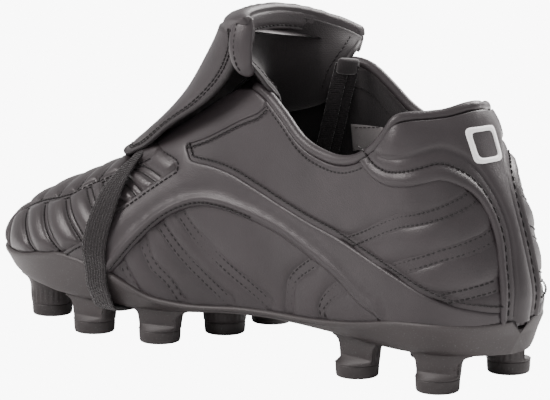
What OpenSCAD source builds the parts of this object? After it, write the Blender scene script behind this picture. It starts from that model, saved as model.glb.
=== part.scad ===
// Soccer cleat with a fold-over tongue flap: right shoe, +Y to the toe, +X to the outer side.
// Stations run from the heel (0) to the toe, rows from the sole edge (0) up to the ridge line.

/* [Shoe] */
// Outside length from heel to toe
shoe_length = 300; // [270:1:320]
// Half width of the heel at the sole edge
heel_half_w = 37; // [33:0.5:40]
// Share by which the heel tab narrows towards its top
heel_pinch = 0.38; // [0:0.02:0.45]
// Half width of the ball at the sole edge
ball_half_w = 49.5; // [44:0.5:54]

/* [Layers] */
// Thickness of one leather layer
leather_t = 1.3; // [1:0.1:1.6]
// Thickness of the padding under the leather
padding_t = 1.5; // [1:0.1:2]
// Thickness of the textile lining
lining_t = 0.9; // [0.7:0.1:1.2]
// Play between neighbouring layers
layer_gap = 0.15; // [0.1:0.05:0.3]

/* [Studs] */
// Radius of a stud at the ground
stud_r = 9.6; // [8.5:0.1:10]
// Radius of a stud where it leaves the sole plate
stud_root_r = 12; // [11.5:0.5:13]
// Height of the separate stud tip
tip_h = 6; // [4:0.5:8]

/* [Tongue] */
// Radius of the padded roll along the fold
roll_r = 3.4; // [2.5:0.1:4]

/* [Details] */
// Width of the elastic band
band_w = 13; // [10:1:16]
// Radius of the collar binding
binding_r = 1.9; // [1.5:0.1:2.5]
// Width of the lace
lace_w = 6.5; // [5:0.5:8]

/* [Hidden] */
$fn = 40;
stations = 36;                  // stations along the shoe
rows = 12;                      // rows from the sole edge to the ridge
k = shoe_length / 300;          // scale of the tables below with the length
frame_shift = [0, -148, 0];     // from the heel's back to the middle of the box

// Curves along the shoe: [distance from the heel, value]
half_t = [[0, heel_half_w - 1.5], [40, heel_half_w], [80, 35], [120, 34.5], [150, 38.5],
    [180, 44], [210, ball_half_w - 1], [240, ball_half_w], [300, ball_half_w - 2.5]];
centre_t = [[0, 0], [60, 1], [120, 4], [160, 4], [200, 1], [240, -2], [300, -8]];
edge_t = [[0, 31], [40, 30], [65, 25.8], [95, 23], [134, 22.3], [169, 20.8], [185, 23], [197, 28],
    [208, 33], [220, 36], [238, 38], [252, 36], [268, 33.5], [300, 33.5]];
ridge_t = [[0, 150], [30, 160], [70, 172], [100, 170], [130, 153], [150, 136], [180, 111.5],
    [210, 89.5], [240, 74.8], [270, 63], [300, 52]];
round_t = [[0, 3.2], [60, 2.8], [110, 2.3], [150, 2.1], [200, 2], [250, 2.1], [300, 2.2]];
// Lean of the heel's back: [height, forward]
back_t = [[20, 0], [31, -1], [42, -2], [55, 0], [66, 2.5], [83, 9], [100, 18], [110, 22],
    [123, 25.5], [140, 30], [170, 34]];
// Sole plate: height of the floor inside the rim, and of the underside
floor_t = [[0, 27], [60, 24.5], [100, 20.5], [165, 18.5], [210, 19], [240, 22], [270, 26], [300, 29]];
under_t = [[0, 16.5], [60, 16], [85, 17.2], [150, 17.2], [170, 15.5], [215, 15.5], [245, 17.5],
    [275, 21], [300, 25.5]];

// Seams on the side: [distance from the heel, height]
collar_medial_t = [[0, 120.3], [5, 118.2], [12, 117.3], [20, 117], [30, 115], [38, 110], [48, 103.7], [62, 97],
    [72, 94.6], [88, 95.6], [103, 100.6], [117, 111], [131, 119.7], [140, 122], [150, 120]];
collar_lateral_t = [[0, 120.3], [5, 118.2], [12, 117.3], [20, 116.5], [30, 113], [40, 109.5], [52, 105.5],
    [65, 104], [78, 106.5], [88, 112], [98, 121], [107, 128.5], [116, 131], [128, 128], [150, 120]];
// Edge of the throat: [distance from the heel, height]
throat_t = [[137, 122.2], [150, 120], [163, 113.5], [176, 106], [189, 98.5], [201, 91.5], [207, 88]];
heel_seam_t = [[2.2, 84.7], [8, 91], [33, 90], [50, 91.3], [60, 98], [70, 110]];
arch_t = [[51, 30.5], [62, 35], [76, 44], [93, 51.5], [115, 59.5], [133, 64.3],
    [148, 67], [160, 67], [171, 63.5], [181, 57], [189, 49], [198, 38], [205, 31]];
side_seam_t = [[0, 38], [8, 38.3], [17, 41], [29, 46], [46, 53], [72, 62], [100, 69], [116, 74],
    [128, 78.4], [142, 83.3], [157, 86], [168, 86.8], [177, 82.5]];
eyestay_seam_t = [[126, 113], [143, 106.6], [160, 98.2], [172, 93], [176, 86], [180, 81],
    [186, 85.5], [198, 88], [214, 90], [226, 86]];
vamp_edge_t = [[176, 82.5], [195, 69], [206, 59.5], [213, 50], [225, 43.5], [237, 37]];
throat_end = 213;               // where the throat closes in front
collar_end = 138;               // where the collar meets the throat

function clamp(v, a, b) = max(a, min(b, v));
function seg(t, x, i = 0) = i >= len(t) - 2 || x < t[i + 1][0] ? i : seg(t, x, i + 1);
function slope(t, i) = (t[i + 1][1] - t[i][1]) / (t[i + 1][0] - t[i][0]);
function tangent(t, i) = i == 0 ? slope(t, 0) : i == len(t) - 1 ? slope(t, i - 1)
    : (slope(t, i - 1) * (t[i + 1][0] - t[i][0]) + slope(t, i) * (t[i][0] - t[i - 1][0]))
        / (t[i + 1][0] - t[i - 1][0]);
// Smooth curve through a table
function curve(t, x0) = let(x = clamp(x0, t[0][0], t[len(t) - 1][0]), i = seg(t, x),
    h = t[i + 1][0] - t[i][0], u = (x - t[i][0]) / h)
    (2 * pow(u, 3) - 3 * u * u + 1) * t[i][1] + (pow(u, 3) - 2 * u * u + u) * h * tangent(t, i)
    + (3 * u * u - 2 * pow(u, 3)) * t[i + 1][1] + (pow(u, 3) - u * u) * h * tangent(t, i + 1);
function bow(q, n) = pow(max(0, 1 - pow(clamp(q, 0, 1), n)), 1 / n);

heel_round = 34;                // length of the rounded heel end
toe_round = 218;                // where the toe starts to round in plan
toe_drop = 255;                 // where the toe starts to round in height
function half_w(y) = curve(half_t, y) * bow(1 - y / heel_round, 2.3)
    * bow((y - toe_round) / (300 - toe_round), 2.15);
function edge_z(y) = curve(edge_t, y);
function rise(y) = (curve(ridge_t, y) - edge_z(y)) * bow((y - toe_drop) / (300 - toe_drop), 2.6);
// Point of the outer surface: distance from the heel, side (-1 inner, 1 outer), row from the edge
function skin(y, side, h) = let(a = 90 * h / rows, n = curve(round_t, y),
    rho = pow(pow(cos(a), n) + pow(sin(a), n), -1 / n), across = rho * cos(a), up = rho * sin(a),
    z = edge_z(y) + rise(y) * up, tuck = 1 - 0.05 * pow(clamp(1 - up / 0.22, 0, 1), 2),
    pinch = 1 - heel_pinch * clamp((z - 92) / 28, 0, 1) * exp(-pow(y / 17, 2)))
    [curve(centre_t, y) + side * half_w(y) * across * tuck * pinch,
     k * (y + curve(back_t, z) * exp(-pow(y / 42, 2))), z];
// Row whose point has height z
function row_at(y, z) = let(up = clamp((z - edge_z(y)) / max(rise(y), 0.01), 0, 1),
    n = curve(round_t, y)) atan2(up, pow(1 - pow(up, n), 1 / n)) * rows / 90;

station_y = [for (i = [0:stations]) 150 * (1 - cos(180 * i / stations))];
grid = [for (i = [0:stations]) [for (j = [-rows:rows])
    skin(station_y[i], j < 0 ? -1 : 1, rows - abs(j))]];
function unit(v) = v / max(norm(v), 1e-9);
function grid_at(i, j) = i < 0 ? grid[-i][2 * rows - j] : grid[i][j];
normals = [for (i = [0:stations]) [for (j = [0:2 * rows])
    i == stations ? [-0.1, 0.99, 0.1]
    : unit(cross(grid_at(i, min(j + 1, 2 * rows)) - grid_at(i, max(j - 1, 0)),
        grid_at(i + 1, j) - grid_at(i - 1, j)))]];
// Point on a station at a fractional row, moved out by d
function on_skin(i, side, h, d) = let(r = rows + side * (rows - h), a = clamp(floor(r), 0, 2 * rows - 1),
    f = r - a) (1 - f) * (grid[i][a] + d * normals[i][a]) + f * (grid[i][a + 1] + d * normals[i][a + 1]);

function station_of(y) = [for (i = [0:stations]) if (station_y[i] <= y + 0.5) i][
    len([for (i = [0:stations]) if (station_y[i] <= y + 0.5) i]) - 1];
function cell(g, i, j, flip) = let(a = g[i][j], b = g[i + 1][j], c = g[i + 1][j + 1], d = g[i][j + 1])
    flip ? [[a, c, b], [a, d, c]] : [[a, b, c], [a, c, d]];
function wall(p, q, flip) = [for (i = [0:len(p) - 2]) each
    flip ? [[p[i], p[i + 1], q[i + 1]], [p[i], q[i + 1], q[i]]]
        : [[p[i], q[i + 1], p[i + 1]], [p[i], q[i], q[i + 1]]]];
function column(g, j) = [for (r = g) r[j]];
function solid_tri(t) = norm(t[0] - t[1]) > 1e-5 && norm(t[1] - t[2]) > 1e-5 && norm(t[0] - t[2]) > 1e-5;
// Triangles of a closed sheet between two grids; open lists the sides left out
function sheet_tris(top, low, flip, open = []) = let(n = len(top) - 1, m = len(top[0]) - 1) [
    for (i = [0:n - 1], j = [0:m - 1]) each cell(top, i, j, flip),
    for (i = [0:n - 1], j = [0:m - 1]) each cell(low, i, j, !flip),
    if (len(search("b", open)) == 0) each wall(column(top, 0), column(low, 0), flip),
    if (len(search("t", open)) == 0) each wall(column(top, m), column(low, m), !flip),
    if (len(search("s", open)) == 0) each wall(top[0], low[0], !flip),
    if (len(search("e", open)) == 0) each wall(top[n], low[n], flip)];
module facets(tris) {
    good = [for (t = tris) if (solid_tri(t)) t];
    polyhedron(points = [for (t = good) each t], faces = [for (i = [0:len(good) - 1])
        [3 * i + 2, 3 * i + 1, 3 * i]]);
}
// Strip of the upper on one side between two heights, from station a to station b
function strip(side, a, b, low, high, d0, d1, open = "") = let(
    lo = [for (i = [a:b]) clamp(low(station_y[i]), 0, rows)],
    hi = [for (i = [a:b]) clamp(high(station_y[i]), 0, rows)],
    first = floor(min(lo)), last = ceil(max(hi)),
    top = [for (i = [a:b]) [for (j = [first:last])
        on_skin(i, side, clamp(j, lo[i - a], max(lo[i - a], hi[i - a])), d1)]],
    low_g = [for (i = [a:b]) [for (j = [first:last])
        on_skin(i, side, clamp(j, lo[i - a], max(lo[i - a], hi[i - a])), d0)]])
    sheet_tris(top, low_g, side < 0, open);

at_edge = function(y) 0;
at_ridge = function(y) rows;
function throat_row(y) = y >= throat_end ? rows : row_at(y, curve(throat_t, y));
function collar_t(side) = side < 0 ? collar_medial_t : collar_lateral_t;
function top_row(side) = function(y) y > collar_end ? throat_row(y)
    : row_at(y, curve(collar_t(side), y));

heel_end = station_of(58);      // last station of the heel overlay
quarter_end = station_of(238);
vamp_start = station_of(165);
skin_d = [-leather_t, 0];
pad_d = [-leather_t - layer_gap - padding_t, -leather_t - layer_gap];
lining_d = [pad_d[0] - layer_gap - lining_t, pad_d[0] - layer_gap];

// Sole plate, shaped as a shallow tray with a rim
rim_w = 6;
function sole_ring(y) = let(w = half_w(y) * 0.95 + 0.8, c = curve(centre_t, y), top = edge_z(y) - 0.1,
    fl = min(curve(floor_t, y), top - 1), un = curve(under_t, y), inner = max(w - rim_w, w * 0.55),
    tuck = min(6, w * 0.3), yb = k * (y + curve(back_t, top) * exp(-pow(y / 42, 2))))
    [for (p = [[-w, top], [-inner, top], [-inner, fl], [inner, fl], [inner, top], [w, top],
        [w - 0.25 * tuck, (top + un) / 2], [w - tuck, un], [-w + tuck, un],
        [-w + 0.25 * tuck, (top + un) / 2]]) [c + p[0], yb, p[1]]];
module loft(rings) {
    m = len(rings[0]);
    facets([for (i = [0:len(rings) - 2], j = [0:m - 1]) each let(a = rings[i][j],
        b = rings[i][(j + 1) % m], c = rings[i + 1][(j + 1) % m], d = rings[i + 1][j])
        [[a, b, c], [a, c, d]],
        for (t = ring_cap(rings[0])) [t[0], t[2], t[1]],
        for (t = ring_cap(rings[len(rings) - 1])) t]);
}
// The ten-point ring closes as a tray: two rims and a floor
function ring_cap(r) = len(r) == 10
    ? [for (q = [[0, 1, 9], [1, 2, 9], [9, 2, 8], [8, 2, 3], [8, 3, 7], [7, 3, 6], [6, 3, 4], [6, 4, 5]])
        [r[q[0]], r[q[1]], r[q[2]]]]
    : [for (i = [1:len(r) - 2]) [r[0], r[i], r[i + 1]]];

// Studs: [across, along]; their flares stop flush with the plate's side
heel_studs = [[-25, 24.5], [26, 25], [-25.5, 70], [26.5, 70]];
forefoot_studs = [[-32, 186], [3, 177], [36, 177], [-36.5, 225], [37, 223], [-21, 270], [13, 268]];
function sole_outline(grow) = [for (s = [-1, 1], n = [1:stations - 1]) let(i = s < 0 ? n : stations - n,
    y = station_y[i]) [curve(centre_t, y) + s * (half_w(y) * 0.95 + 0.8 + grow), k * y]];
module stud(p) translate([p[0], k * p[1], 0]) rotate_extrude()
    polygon([[0, tip_h], [stud_r + 0.5, tip_h], [stud_r + 1.2, 10], [stud_root_r - 1.5, 14.5],
        [stud_root_r, 17.5], [stud_root_r, 19], [0, 19]]);
module stud_tip(p) translate([p[0], k * p[1], 0]) rotate_extrude()
    polygon([[0, 0], [stud_r - 0.6, 0], [stud_r, 0.7], [stud_r + 0.35, tip_h], [0, tip_h]]);

module outsole() color([0.20, 0.19, 0.19]) translate(frame_shift)
    loft([for (i = [1:stations - 1]) sole_ring(station_y[i])]);
// The studs are moulded into the plate, so their roots reach into it
module studs(places) intersection() {
    union() for (p = places) stud(p);
    translate([0, 0, tip_h - 1]) linear_extrude(20) polygon(sole_outline(1));
}
module heel_stud_bodies() color([0.20, 0.19, 0.19]) translate(frame_shift) studs(heel_studs);
module forefoot_stud_bodies() color([0.20, 0.19, 0.19]) translate(frame_shift) studs(forefoot_studs);
module heel_stud_tips() color([0.15, 0.14, 0.14]) translate(frame_shift)
    for (p = heel_studs) stud_tip(p);
module forefoot_stud_tips() color([0.15, 0.14, 0.14]) translate(frame_shift)
    for (p = forefoot_studs) stud_tip(p);

// Flat layers inside the shoe: inset from the sole edge and heights above the floor
function bed(inset, lift, y0, y1) = [for (i = [station_of(y0):station_of(y1)]) let(y = station_y[i],
    w = half_w(y) * 0.95 + 0.8 - inset, c = curve(centre_t, y), z = curve(floor_t, y) + lift)
    [for (f = [-1:0.5:1]) [c + f * w, k * y, z]]];
module bed_layer(inset, z0, z1, y0, y1)
    facets(sheet_tris(bed(inset, z1, y0, y1), bed(inset, z0, y0, y1), true));
module shank() color([0.55, 0.56, 0.58]) translate(frame_shift)
    facets(sheet_tris(shank_grid(1.1), shank_grid(0.1), true));
function shank_grid(lift) = [for (i = [station_of(66):station_of(152)]) let(y = station_y[i])
    [for (f = [-9, 0, 9]) [curve(centre_t, y) + f, k * y, curve(floor_t, y) + lift]]];
module insole_board() color([0.72, 0.66, 0.55]) translate(frame_shift)
    bed_layer(rim_w + 0.6, 1.25, 3, 6, 293);
module sockliner_foam() color([0.25, 0.25, 0.27]) translate(frame_shift)
    bed_layer(rim_w + 1.2, 3.15, 6.6, 9, 292);
module sockliner_cover() color([0.12, 0.12, 0.13]) translate(frame_shift)
    bed_layer(rim_w + 1.2, 6.7, 7.4, 9, 292);

// Upper, outer layer
vamp_low = function(y) y > 239 ? 0 : y < 170 ? throat_row(y) : row_at(y, curve(vamp_edge_t, y));
vamp_high = function(y) throat_row(y);
module vamp() color([0.30, 0.28, 0.29]) translate(frame_shift) facets([for (s = [-1, 1]) each
    concat(strip(s, vamp_start, station_of(throat_end), vamp_low, vamp_high, skin_d[0], skin_d[1], "e"),
        strip(s, station_of(throat_end), stations, vamp_low, at_ridge, skin_d[0], skin_d[1], "ste"))]);
module vamp_padding() color([0.75, 0.75, 0.72]) translate(frame_shift) facets([for (s = [-1, 1]) each
    concat(strip(s, station_of(190), station_of(throat_end), vamp_low, padding_high,
            pad_d[0], pad_d[1], "e"),
        strip(s, station_of(throat_end), station_of(252), vamp_low, at_ridge, pad_d[0], pad_d[1], "st"))]);
padding_high = function(y) y >= throat_end ? rows : throat_row(y) - 0.25;
module toe_puff() color([0.60, 0.55, 0.45]) translate(frame_shift) facets([for (s = [-1, 1]) each
    strip(s, station_of(252), stations, at_edge, at_ridge, pad_d[0], pad_d[1], "te")]);
// A quarter runs from the heel seam to the vamp, up to the collar and the throat
function quarter_high(side) = function(y) y > 170 ? row_at(y, curve(vamp_edge_t, y))
    : top_row(side)(y);
module quarter(side) facets(strip(side, 0, quarter_end, at_edge, quarter_high(side), skin_d[0], skin_d[1]));
module quarter_medial() color([0.33, 0.31, 0.32]) translate(frame_shift) quarter(-1);
module quarter_lateral() color([0.33, 0.31, 0.32]) translate(frame_shift) quarter(1);
// Stiff counter round the heel, with soft padding above it under the collar
counter_high = function(y) row_at(y, 84 - 50 * pow(y / 78, 2));
module heel_counter() color([0.70, 0.62, 0.50]) translate(frame_shift) facets([for (s = [-1, 1]) each
    strip(s, 0, station_of(76), at_edge, counter_high, pad_d[0], pad_d[1], "s")]);
module collar_padding() color([0.78, 0.78, 0.75]) translate(frame_shift) facets([for (s = [-1, 1]) each
    strip(s, 0, station_of(132), function(y) counter_low(y), function(y) top_row(s)(y) - 0.25,
        pad_d[0], pad_d[1], "s")]);
function counter_low(y) = y < 77 ? max(row_at(y, 84.5 - 50 * pow(y / 78, 2)), 0.3)
    : row_at(y, 46 + 14 * clamp((y - 77) / 40, 0, 1));
module lining() color([0.16, 0.15, 0.16]) translate(frame_shift) facets([for (s = [-1, 1]) each
    concat(strip(s, 0, station_of(throat_end), at_edge, lining_high(s), lining_d[0], lining_d[1], "se"),
        strip(s, station_of(throat_end), stations, at_edge, at_ridge, lining_d[0], lining_d[1], "ste"))]);
function lining_high(side) = function(y) y >= throat_end ? rows : top_row(side)(y) - 0.25;

// Upper, overlays stitched on the outside
overlay = [2 * layer_gap, 2 * layer_gap + leather_t];
arch_low = function(y) y < 51 || y > 205 ? 0 : row_at(y, curve(arch_t, y));
arch_high = function(y) y > 177 ? row_at(y, curve(vamp_edge_t, y)) : row_at(y, curve(side_seam_t, y));
module side_overlay(side) facets(strip(side, station_of(6), quarter_end, arch_low, arch_high,
    overlay[0], overlay[1]));
module side_overlay_medial() color([0.36, 0.34, 0.35]) translate(frame_shift) side_overlay(-1);
module side_overlay_lateral() color([0.36, 0.34, 0.35]) translate(frame_shift) side_overlay(1);
eyestay_low = function(y) row_at(y, curve(eyestay_seam_t, y)) + 0.05;
module eyestay(side) facets(strip(side, station_of(128), station_of(throat_end),
    eyestay_low, top_row(side), overlay[0], overlay[1]));
module eyestay_medial() color([0.36, 0.34, 0.35]) translate(frame_shift) eyestay(-1);
module eyestay_lateral() color([0.36, 0.34, 0.35]) translate(frame_shift) eyestay(1);
heel_low = function(y) row_at(y, curve(heel_seam_t, y));
heel_d = [overlay[0], overlay[1] + 0.7];
back_end = 2;                   // last station of the strip down the heel's back
module heel_overlay() color([0.31, 0.30, 0.31]) translate(frame_shift) facets([for (s = [-1, 1]) each
    concat(strip(s, 0, back_end, at_edge, heel_low, heel_d[0], heel_d[1], "st"),
        strip(s, 0, back_end, heel_low, top_row(s), heel_d[0], heel_d[1], "sbe"),
        strip(s, back_end, heel_end, heel_low, top_row(s), heel_d[0], heel_d[1], "s"))]);

// Swept tube along a list of points, n sides
function frames(p) = [for (i = [0:len(p) - 1]) unit(p[min(i + 1, len(p) - 1)] - p[max(i - 1, 0)])];
function tube_ring(c, t, rx, ry, n, up) = let(u = unit(cross(t, up)), v = cross(u, t))
    [for (a = [0:n - 1]) c + rx * cos(360 * a / n) * u - ry * sin(360 * a / n) * v];
function tube_rings(p, rx, ry, n, up = [0, 0, 1]) = let(t = frames(p))
    [for (i = [0:len(p) - 1]) tube_ring(p[i], t[i], rx, ry, n, up)];
module collar_binding() color([0.28, 0.27, 0.27]) translate(frame_shift) loft(tube_rings(concat(
    [for (i = [station_of(collar_end - 4):-1:0]) binding_point(i, -1)],
    [for (i = [1:station_of(collar_end - 8)]) binding_point(i, 1)]), binding_r, binding_r, 9));
function binding_point(i, side) = let(h = top_row(side)(station_y[i]))
    (on_skin(i, side, h, pad_d[0] / 2) + [0, 0, binding_r + 0.45]);

// Tongue above the throat: [distance, height, half width, fall back of the sides, drop of the
// sides, middle], up to the fold; below that it follows the inside of the upper
tongue_t = [[153, 128, 17, 24, 15, 4], [150.5, 137.5, 20.5, 23, 11, 1.5], [148, 144, 27, 18, 6, 0],
    [146, 150, 28, 16, 3, 0]];
tongue_under = [24, 23, 22, 21, 20, 19];    // stations under the vamp and the throat
tongue_d = lining_d[0] - 0.5;
// Flap: from the fold down to its free end
flap_t = [[160.5, 154, 30, 20, 4], [168, 143.5, 30, 29, 2], [178, 129, 30, 33, 0],
    [187, 116.5, 30, 27, 1], [199, 104, 29, 17, 1], [212, 95.5, 26, 12, 4], [226, 87.6, 21, 9, 3.6]];
// Point across a row, a from -1 (inner side) to 1; the outer side hangs wider and lower near the fold
function row_point(r, a, skew) = let(q = skew * max(a, 0), w = r[2] + 10 * q)
    [(len(r) > 5 ? r[5] : 0) + w * sin(90 * a), k * (r[0] - (r[3] + 8 * q) * (1 - cos(90 * a))),
     r[1] - r[4] * (1 - cos(90 * a)) - 10 * q * max(a, 0)];
function row_grid(t, skews) = [for (i = [0:len(t) - 1]) [for (a = [-1:0.25:1])
    row_point(t[i], a, skews(i))]];
function grid_normals(g, s) = let(n = len(g) - 1, m = len(g[0]) - 1) [for (i = [0:n]) [for (j = [0:m])
    s * unit(cross(g[min(i + 1, n)][j] - g[max(i - 1, 0)][j],
        g[i][min(j + 1, m)] - g[i][max(j - 1, 0)]))]];
function lifted(g, nn, d) = [for (i = [0:len(g) - 1]) [for (j = [0:len(g[0]) - 1])
    g[i][j] + d * nn[i][j]]];
tongue_g = concat([for (i = tongue_under) [for (a = [-1:0.25:1])
    on_skin(i, a < 0 ? -1 : 1, rows - abs(a) * 0.4 * rows, tongue_d)]],
    row_grid(tongue_t, function(i) i < 2 ? 0 : (i - 1) / 2));
flap_g = row_grid(flap_t, function(i) clamp(1 - i / 4, 0, 1));
tongue_n = grid_normals(tongue_g, 1);
flap_n = grid_normals(flap_g, -1);
module tongue_sheet(d0, d1)
    facets(sheet_tris(lifted(tongue_g, tongue_n, d1), lifted(tongue_g, tongue_n, d0), false));
module tongue_leather() color([0.32, 0.30, 0.31]) translate(frame_shift) tongue_sheet(-1.1, 0);
module tongue_padding() color([0.78, 0.78, 0.75]) translate(frame_shift) tongue_sheet(-3.2, -1.2);
module tongue_lining() color([0.16, 0.15, 0.16]) translate(frame_shift) tongue_sheet(-4, -3.3);

// Flap, folded over the laces; its layers run from the outside in
flap_layers = [[-1.1, 0], [-1.7, -1.2], [-2.3, -1.8]];
module flap_sheet(i) facets(sheet_tris(lifted(flap_g, flap_n, flap_layers[i][1]),
    lifted(flap_g, flap_n, flap_layers[i][0]), true));
module flap_leather() color([0.36, 0.34, 0.35]) translate(frame_shift) flap_sheet(0);
module flap_padding() color([0.78, 0.78, 0.75]) translate(frame_shift) flap_sheet(1);
module flap_lining() color([0.18, 0.17, 0.18]) translate(frame_shift) flap_sheet(2);
// Binding round the free edge of the flap, just outside the sheets
flap_last = len(flap_g) - 1;
function edge_out(i, j, v) = flap_g[i][j] - 1.15 * flap_n[i][j] + v;
module flap_binding() color([0.24, 0.23, 0.23]) translate(frame_shift) loft(tube_rings(concat(
    [for (i = [0:flap_last - 1]) edge_out(i, 0, [-1.6, -0.2, -0.3])],
    [for (j = [0:8]) edge_out(flap_last, j, [0.4 * (j - 4), 1.5, -1.1])],
    [for (i = [flap_last - 1:-1:0]) edge_out(i, 8, [1.6, -0.2, -0.3])]), 1.3, 1.3, 7));
// Padded roll along the fold
fold_row = [147.5, 155.5, 29, 15.5, 3];
module fold_roll() color([0.34, 0.32, 0.33]) translate(frame_shift) loft(tube_rings(
    [for (a = [-1:0.125:1]) row_point(fold_row, a, 1)], roll_r, roll_r, 10, [0, -0.6, 1]));

// Lace: bars across the throat, and two ends tucked into the shoe
lace_t = 1.3;
bar_stations = [19, 20, 21, 22];
bar_d = tongue_d + 1;           // bars lie just above the tongue
module lace_rows() color([0.17, 0.16, 0.17]) translate(frame_shift) for (i = bar_stations)
    let(gap = rows - throat_row(station_y[i])) loft(tube_rings([for (f = [-1:0.25:1])
        on_skin(i, f < 0 ? -1 : 1, rows - abs(f) * 0.93 * gap, bar_d)],
        lace_w / 2, lace_t / 2, 8, [0, 0.55, 0.83]));
lace_outer_route = [[19.5, 112, 132], [19.5, 113.5, 127], [19, 115, 121], [18.3, 116.5, 114.5],
    [18, 118, 108], [18, 120, 101], [17.8, 122, 94], [17.5, 124, 87], [17, 125.5, 78], [16.5, 126.5, 68],
    [16, 127, 58]];
lace_inner_route = [[15.5, 114.5, 132], [15.5, 116, 127], [15, 117.5, 121], [14.5, 119, 114.5],
    [14.3, 120.5, 108], [14.2, 122.5, 101], [14, 124.5, 94], [13.5, 126.5, 87], [13, 128, 78],
    [12.5, 129, 68], [12, 129.5, 58]];
module lace_end(route) loft(tube_rings([for (p = route) [p[0], k * p[1], p[2]]],
    lace_w / 2, lace_t / 2, 8, [1, 0.6, 0.2]));
module lace_end_inner() color([0.17, 0.16, 0.17]) translate(frame_shift) lace_end(lace_inner_route);
module lace_end_outer() color([0.17, 0.16, 0.17]) translate(frame_shift) lace_end(lace_outer_route);
module aglet(route) translate([route[10][0] - 0.6, k * route[10][1] + 0.6, route[10][2] - 13])
    rotate([3, 3, 0]) cylinder(h = 12, r = 1.7);
module aglets() color([0.10, 0.10, 0.10]) translate(frame_shift)
    for (r = [lace_inner_route, lace_outer_route]) aglet(r);

// Elastic band: from under one side of the flap, round below the sole plate, up to the other side
band_top = 82;
function band_y(z) = 199 + 10 * clamp((82 - z) / 40, 0, 1);
function band_skin(f, side, h, d) = let(y = band_y(skin(207, side, h)[2]) + f * band_w / 2,
    p = skin(y, side, h), c = [curve(centre_t, y), p[1], edge_z(y) + 14]) p + d * unit(p - c);
function band_ring(f, d) = let(y = 206 + f * band_w / 2, r = sole_ring(y), h0 = row_at(204, band_top),
    n = 6, c = curve(centre_t, y)) concat(
    [for (i = [n:-1:1]) band_skin(f, -1, h0 * i / n, d)],
    [for (j = [0, 9, 8]) r[j] + d * unit([r[j][0] - c, 0, j == 0 ? 4 : j == 9 ? -8 : -40])],
    [for (g = [-0.5, 0, 0.5]) [c + g * (r[7][0] - c) * 1.4, r[7][1], r[7][2] - d]],
    [for (j = [7, 6, 5]) r[j] + d * unit([r[j][0] - c, 0, j == 5 ? 4 : j == 6 ? -8 : -40])],
    [for (i = [1:n]) band_skin(f, 1, h0 * i / n, d)]);
module elastic_band() color([0.14, 0.13, 0.14]) translate(frame_shift) facets(sheet_tris(
    [for (f = [-1, 0, 1]) band_ring(f, 2.9)], [for (f = [-1, 0, 1]) band_ring(f, 1.75)], false));

// Woven label on the lining inside the outer quarter
module size_label() color([0.75, 0.75, 0.75]) translate(frame_shift) facets(strip(1, station_of(101),
    station_of(121), function(y) row_at(y, 90), function(y) row_at(y, 103), lining_d[0] - 0.5,
    lining_d[0] - 0.1));

outsole();
heel_stud_bodies();
forefoot_stud_bodies();
heel_stud_tips();
forefoot_stud_tips();
shank();
insole_board();
sockliner_foam();
sockliner_cover();
vamp();
vamp_padding();
toe_puff();
quarter_medial();
quarter_lateral();
heel_counter();
collar_padding();
lining();
side_overlay_medial();
side_overlay_lateral();
eyestay_medial();
eyestay_lateral();
heel_overlay();
collar_binding();
tongue_leather();
tongue_padding();
tongue_lining();
lace_rows();
lace_end_inner();
lace_end_outer();
aglets();
elastic_band();
size_label();
fold_roll();
flap_leather();
flap_padding();
flap_lining();
flap_binding();
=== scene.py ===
"""Leather soccer boot with a fold-over tongue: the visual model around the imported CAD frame.

Lengths here are millimetres from the heel datum, as in part.scad, and become metres when a mesh is made.
"""
import math

import bpy
import numpy as np
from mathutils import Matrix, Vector
from mathutils.geometry import delaunay_2d_cdt


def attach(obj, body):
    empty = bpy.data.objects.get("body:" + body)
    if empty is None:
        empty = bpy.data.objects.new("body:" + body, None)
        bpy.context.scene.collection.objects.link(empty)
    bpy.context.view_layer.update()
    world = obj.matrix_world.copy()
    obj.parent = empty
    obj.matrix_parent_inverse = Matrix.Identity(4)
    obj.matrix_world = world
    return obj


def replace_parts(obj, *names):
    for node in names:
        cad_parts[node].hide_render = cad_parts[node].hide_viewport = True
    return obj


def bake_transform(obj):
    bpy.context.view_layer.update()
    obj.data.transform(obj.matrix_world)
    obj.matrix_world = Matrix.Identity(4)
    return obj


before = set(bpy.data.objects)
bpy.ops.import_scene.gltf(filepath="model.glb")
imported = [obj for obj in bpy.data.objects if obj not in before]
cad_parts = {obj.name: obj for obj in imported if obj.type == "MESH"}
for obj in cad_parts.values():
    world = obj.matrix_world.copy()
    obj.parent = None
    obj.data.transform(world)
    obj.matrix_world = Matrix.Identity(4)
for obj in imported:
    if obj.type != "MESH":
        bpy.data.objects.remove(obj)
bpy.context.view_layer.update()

MM = 0.001
DATUM_Y = -148                  # where the heel datum lies along the frame's Y
INNER, OUTER = -1, 1            # the two sides of the shoe
ROWS = 12                       # rows of the surface from the sole edge to the ridge
LENGTH = 300


# ---- camera, light, floor
def make_camera():
    data = bpy.data.cameras.new("camera")
    data.sensor_width, data.lens = 36, 195.7
    data.clip_start, data.clip_end = 0.05, 20
    cam = bpy.data.objects.new("camera", data)
    bpy.context.scene.collection.objects.link(cam)
    cam.location = (-1.0158, -0.9204, 0.2965)
    cam.rotation_mode = "QUATERNION"
    cam.rotation_quaternion = Vector((0.7330, 0.6600, -0.1650)).to_track_quat("-Z", "Y")
    bpy.context.scene.camera = cam


def make_light(name, place, size, power, colour):
    data = bpy.data.lights.new(name, "AREA")
    data.shape, data.size, data.energy, data.color = "DISK", size, power, colour
    light = bpy.data.objects.new(name, data)
    bpy.context.scene.collection.objects.link(light)
    light.location = place
    light.rotation_mode = "QUATERNION"
    light.rotation_quaternion = (Vector((0, 0, 0.06)) - Vector(place)).to_track_quat("-Z", "Y")


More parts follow.
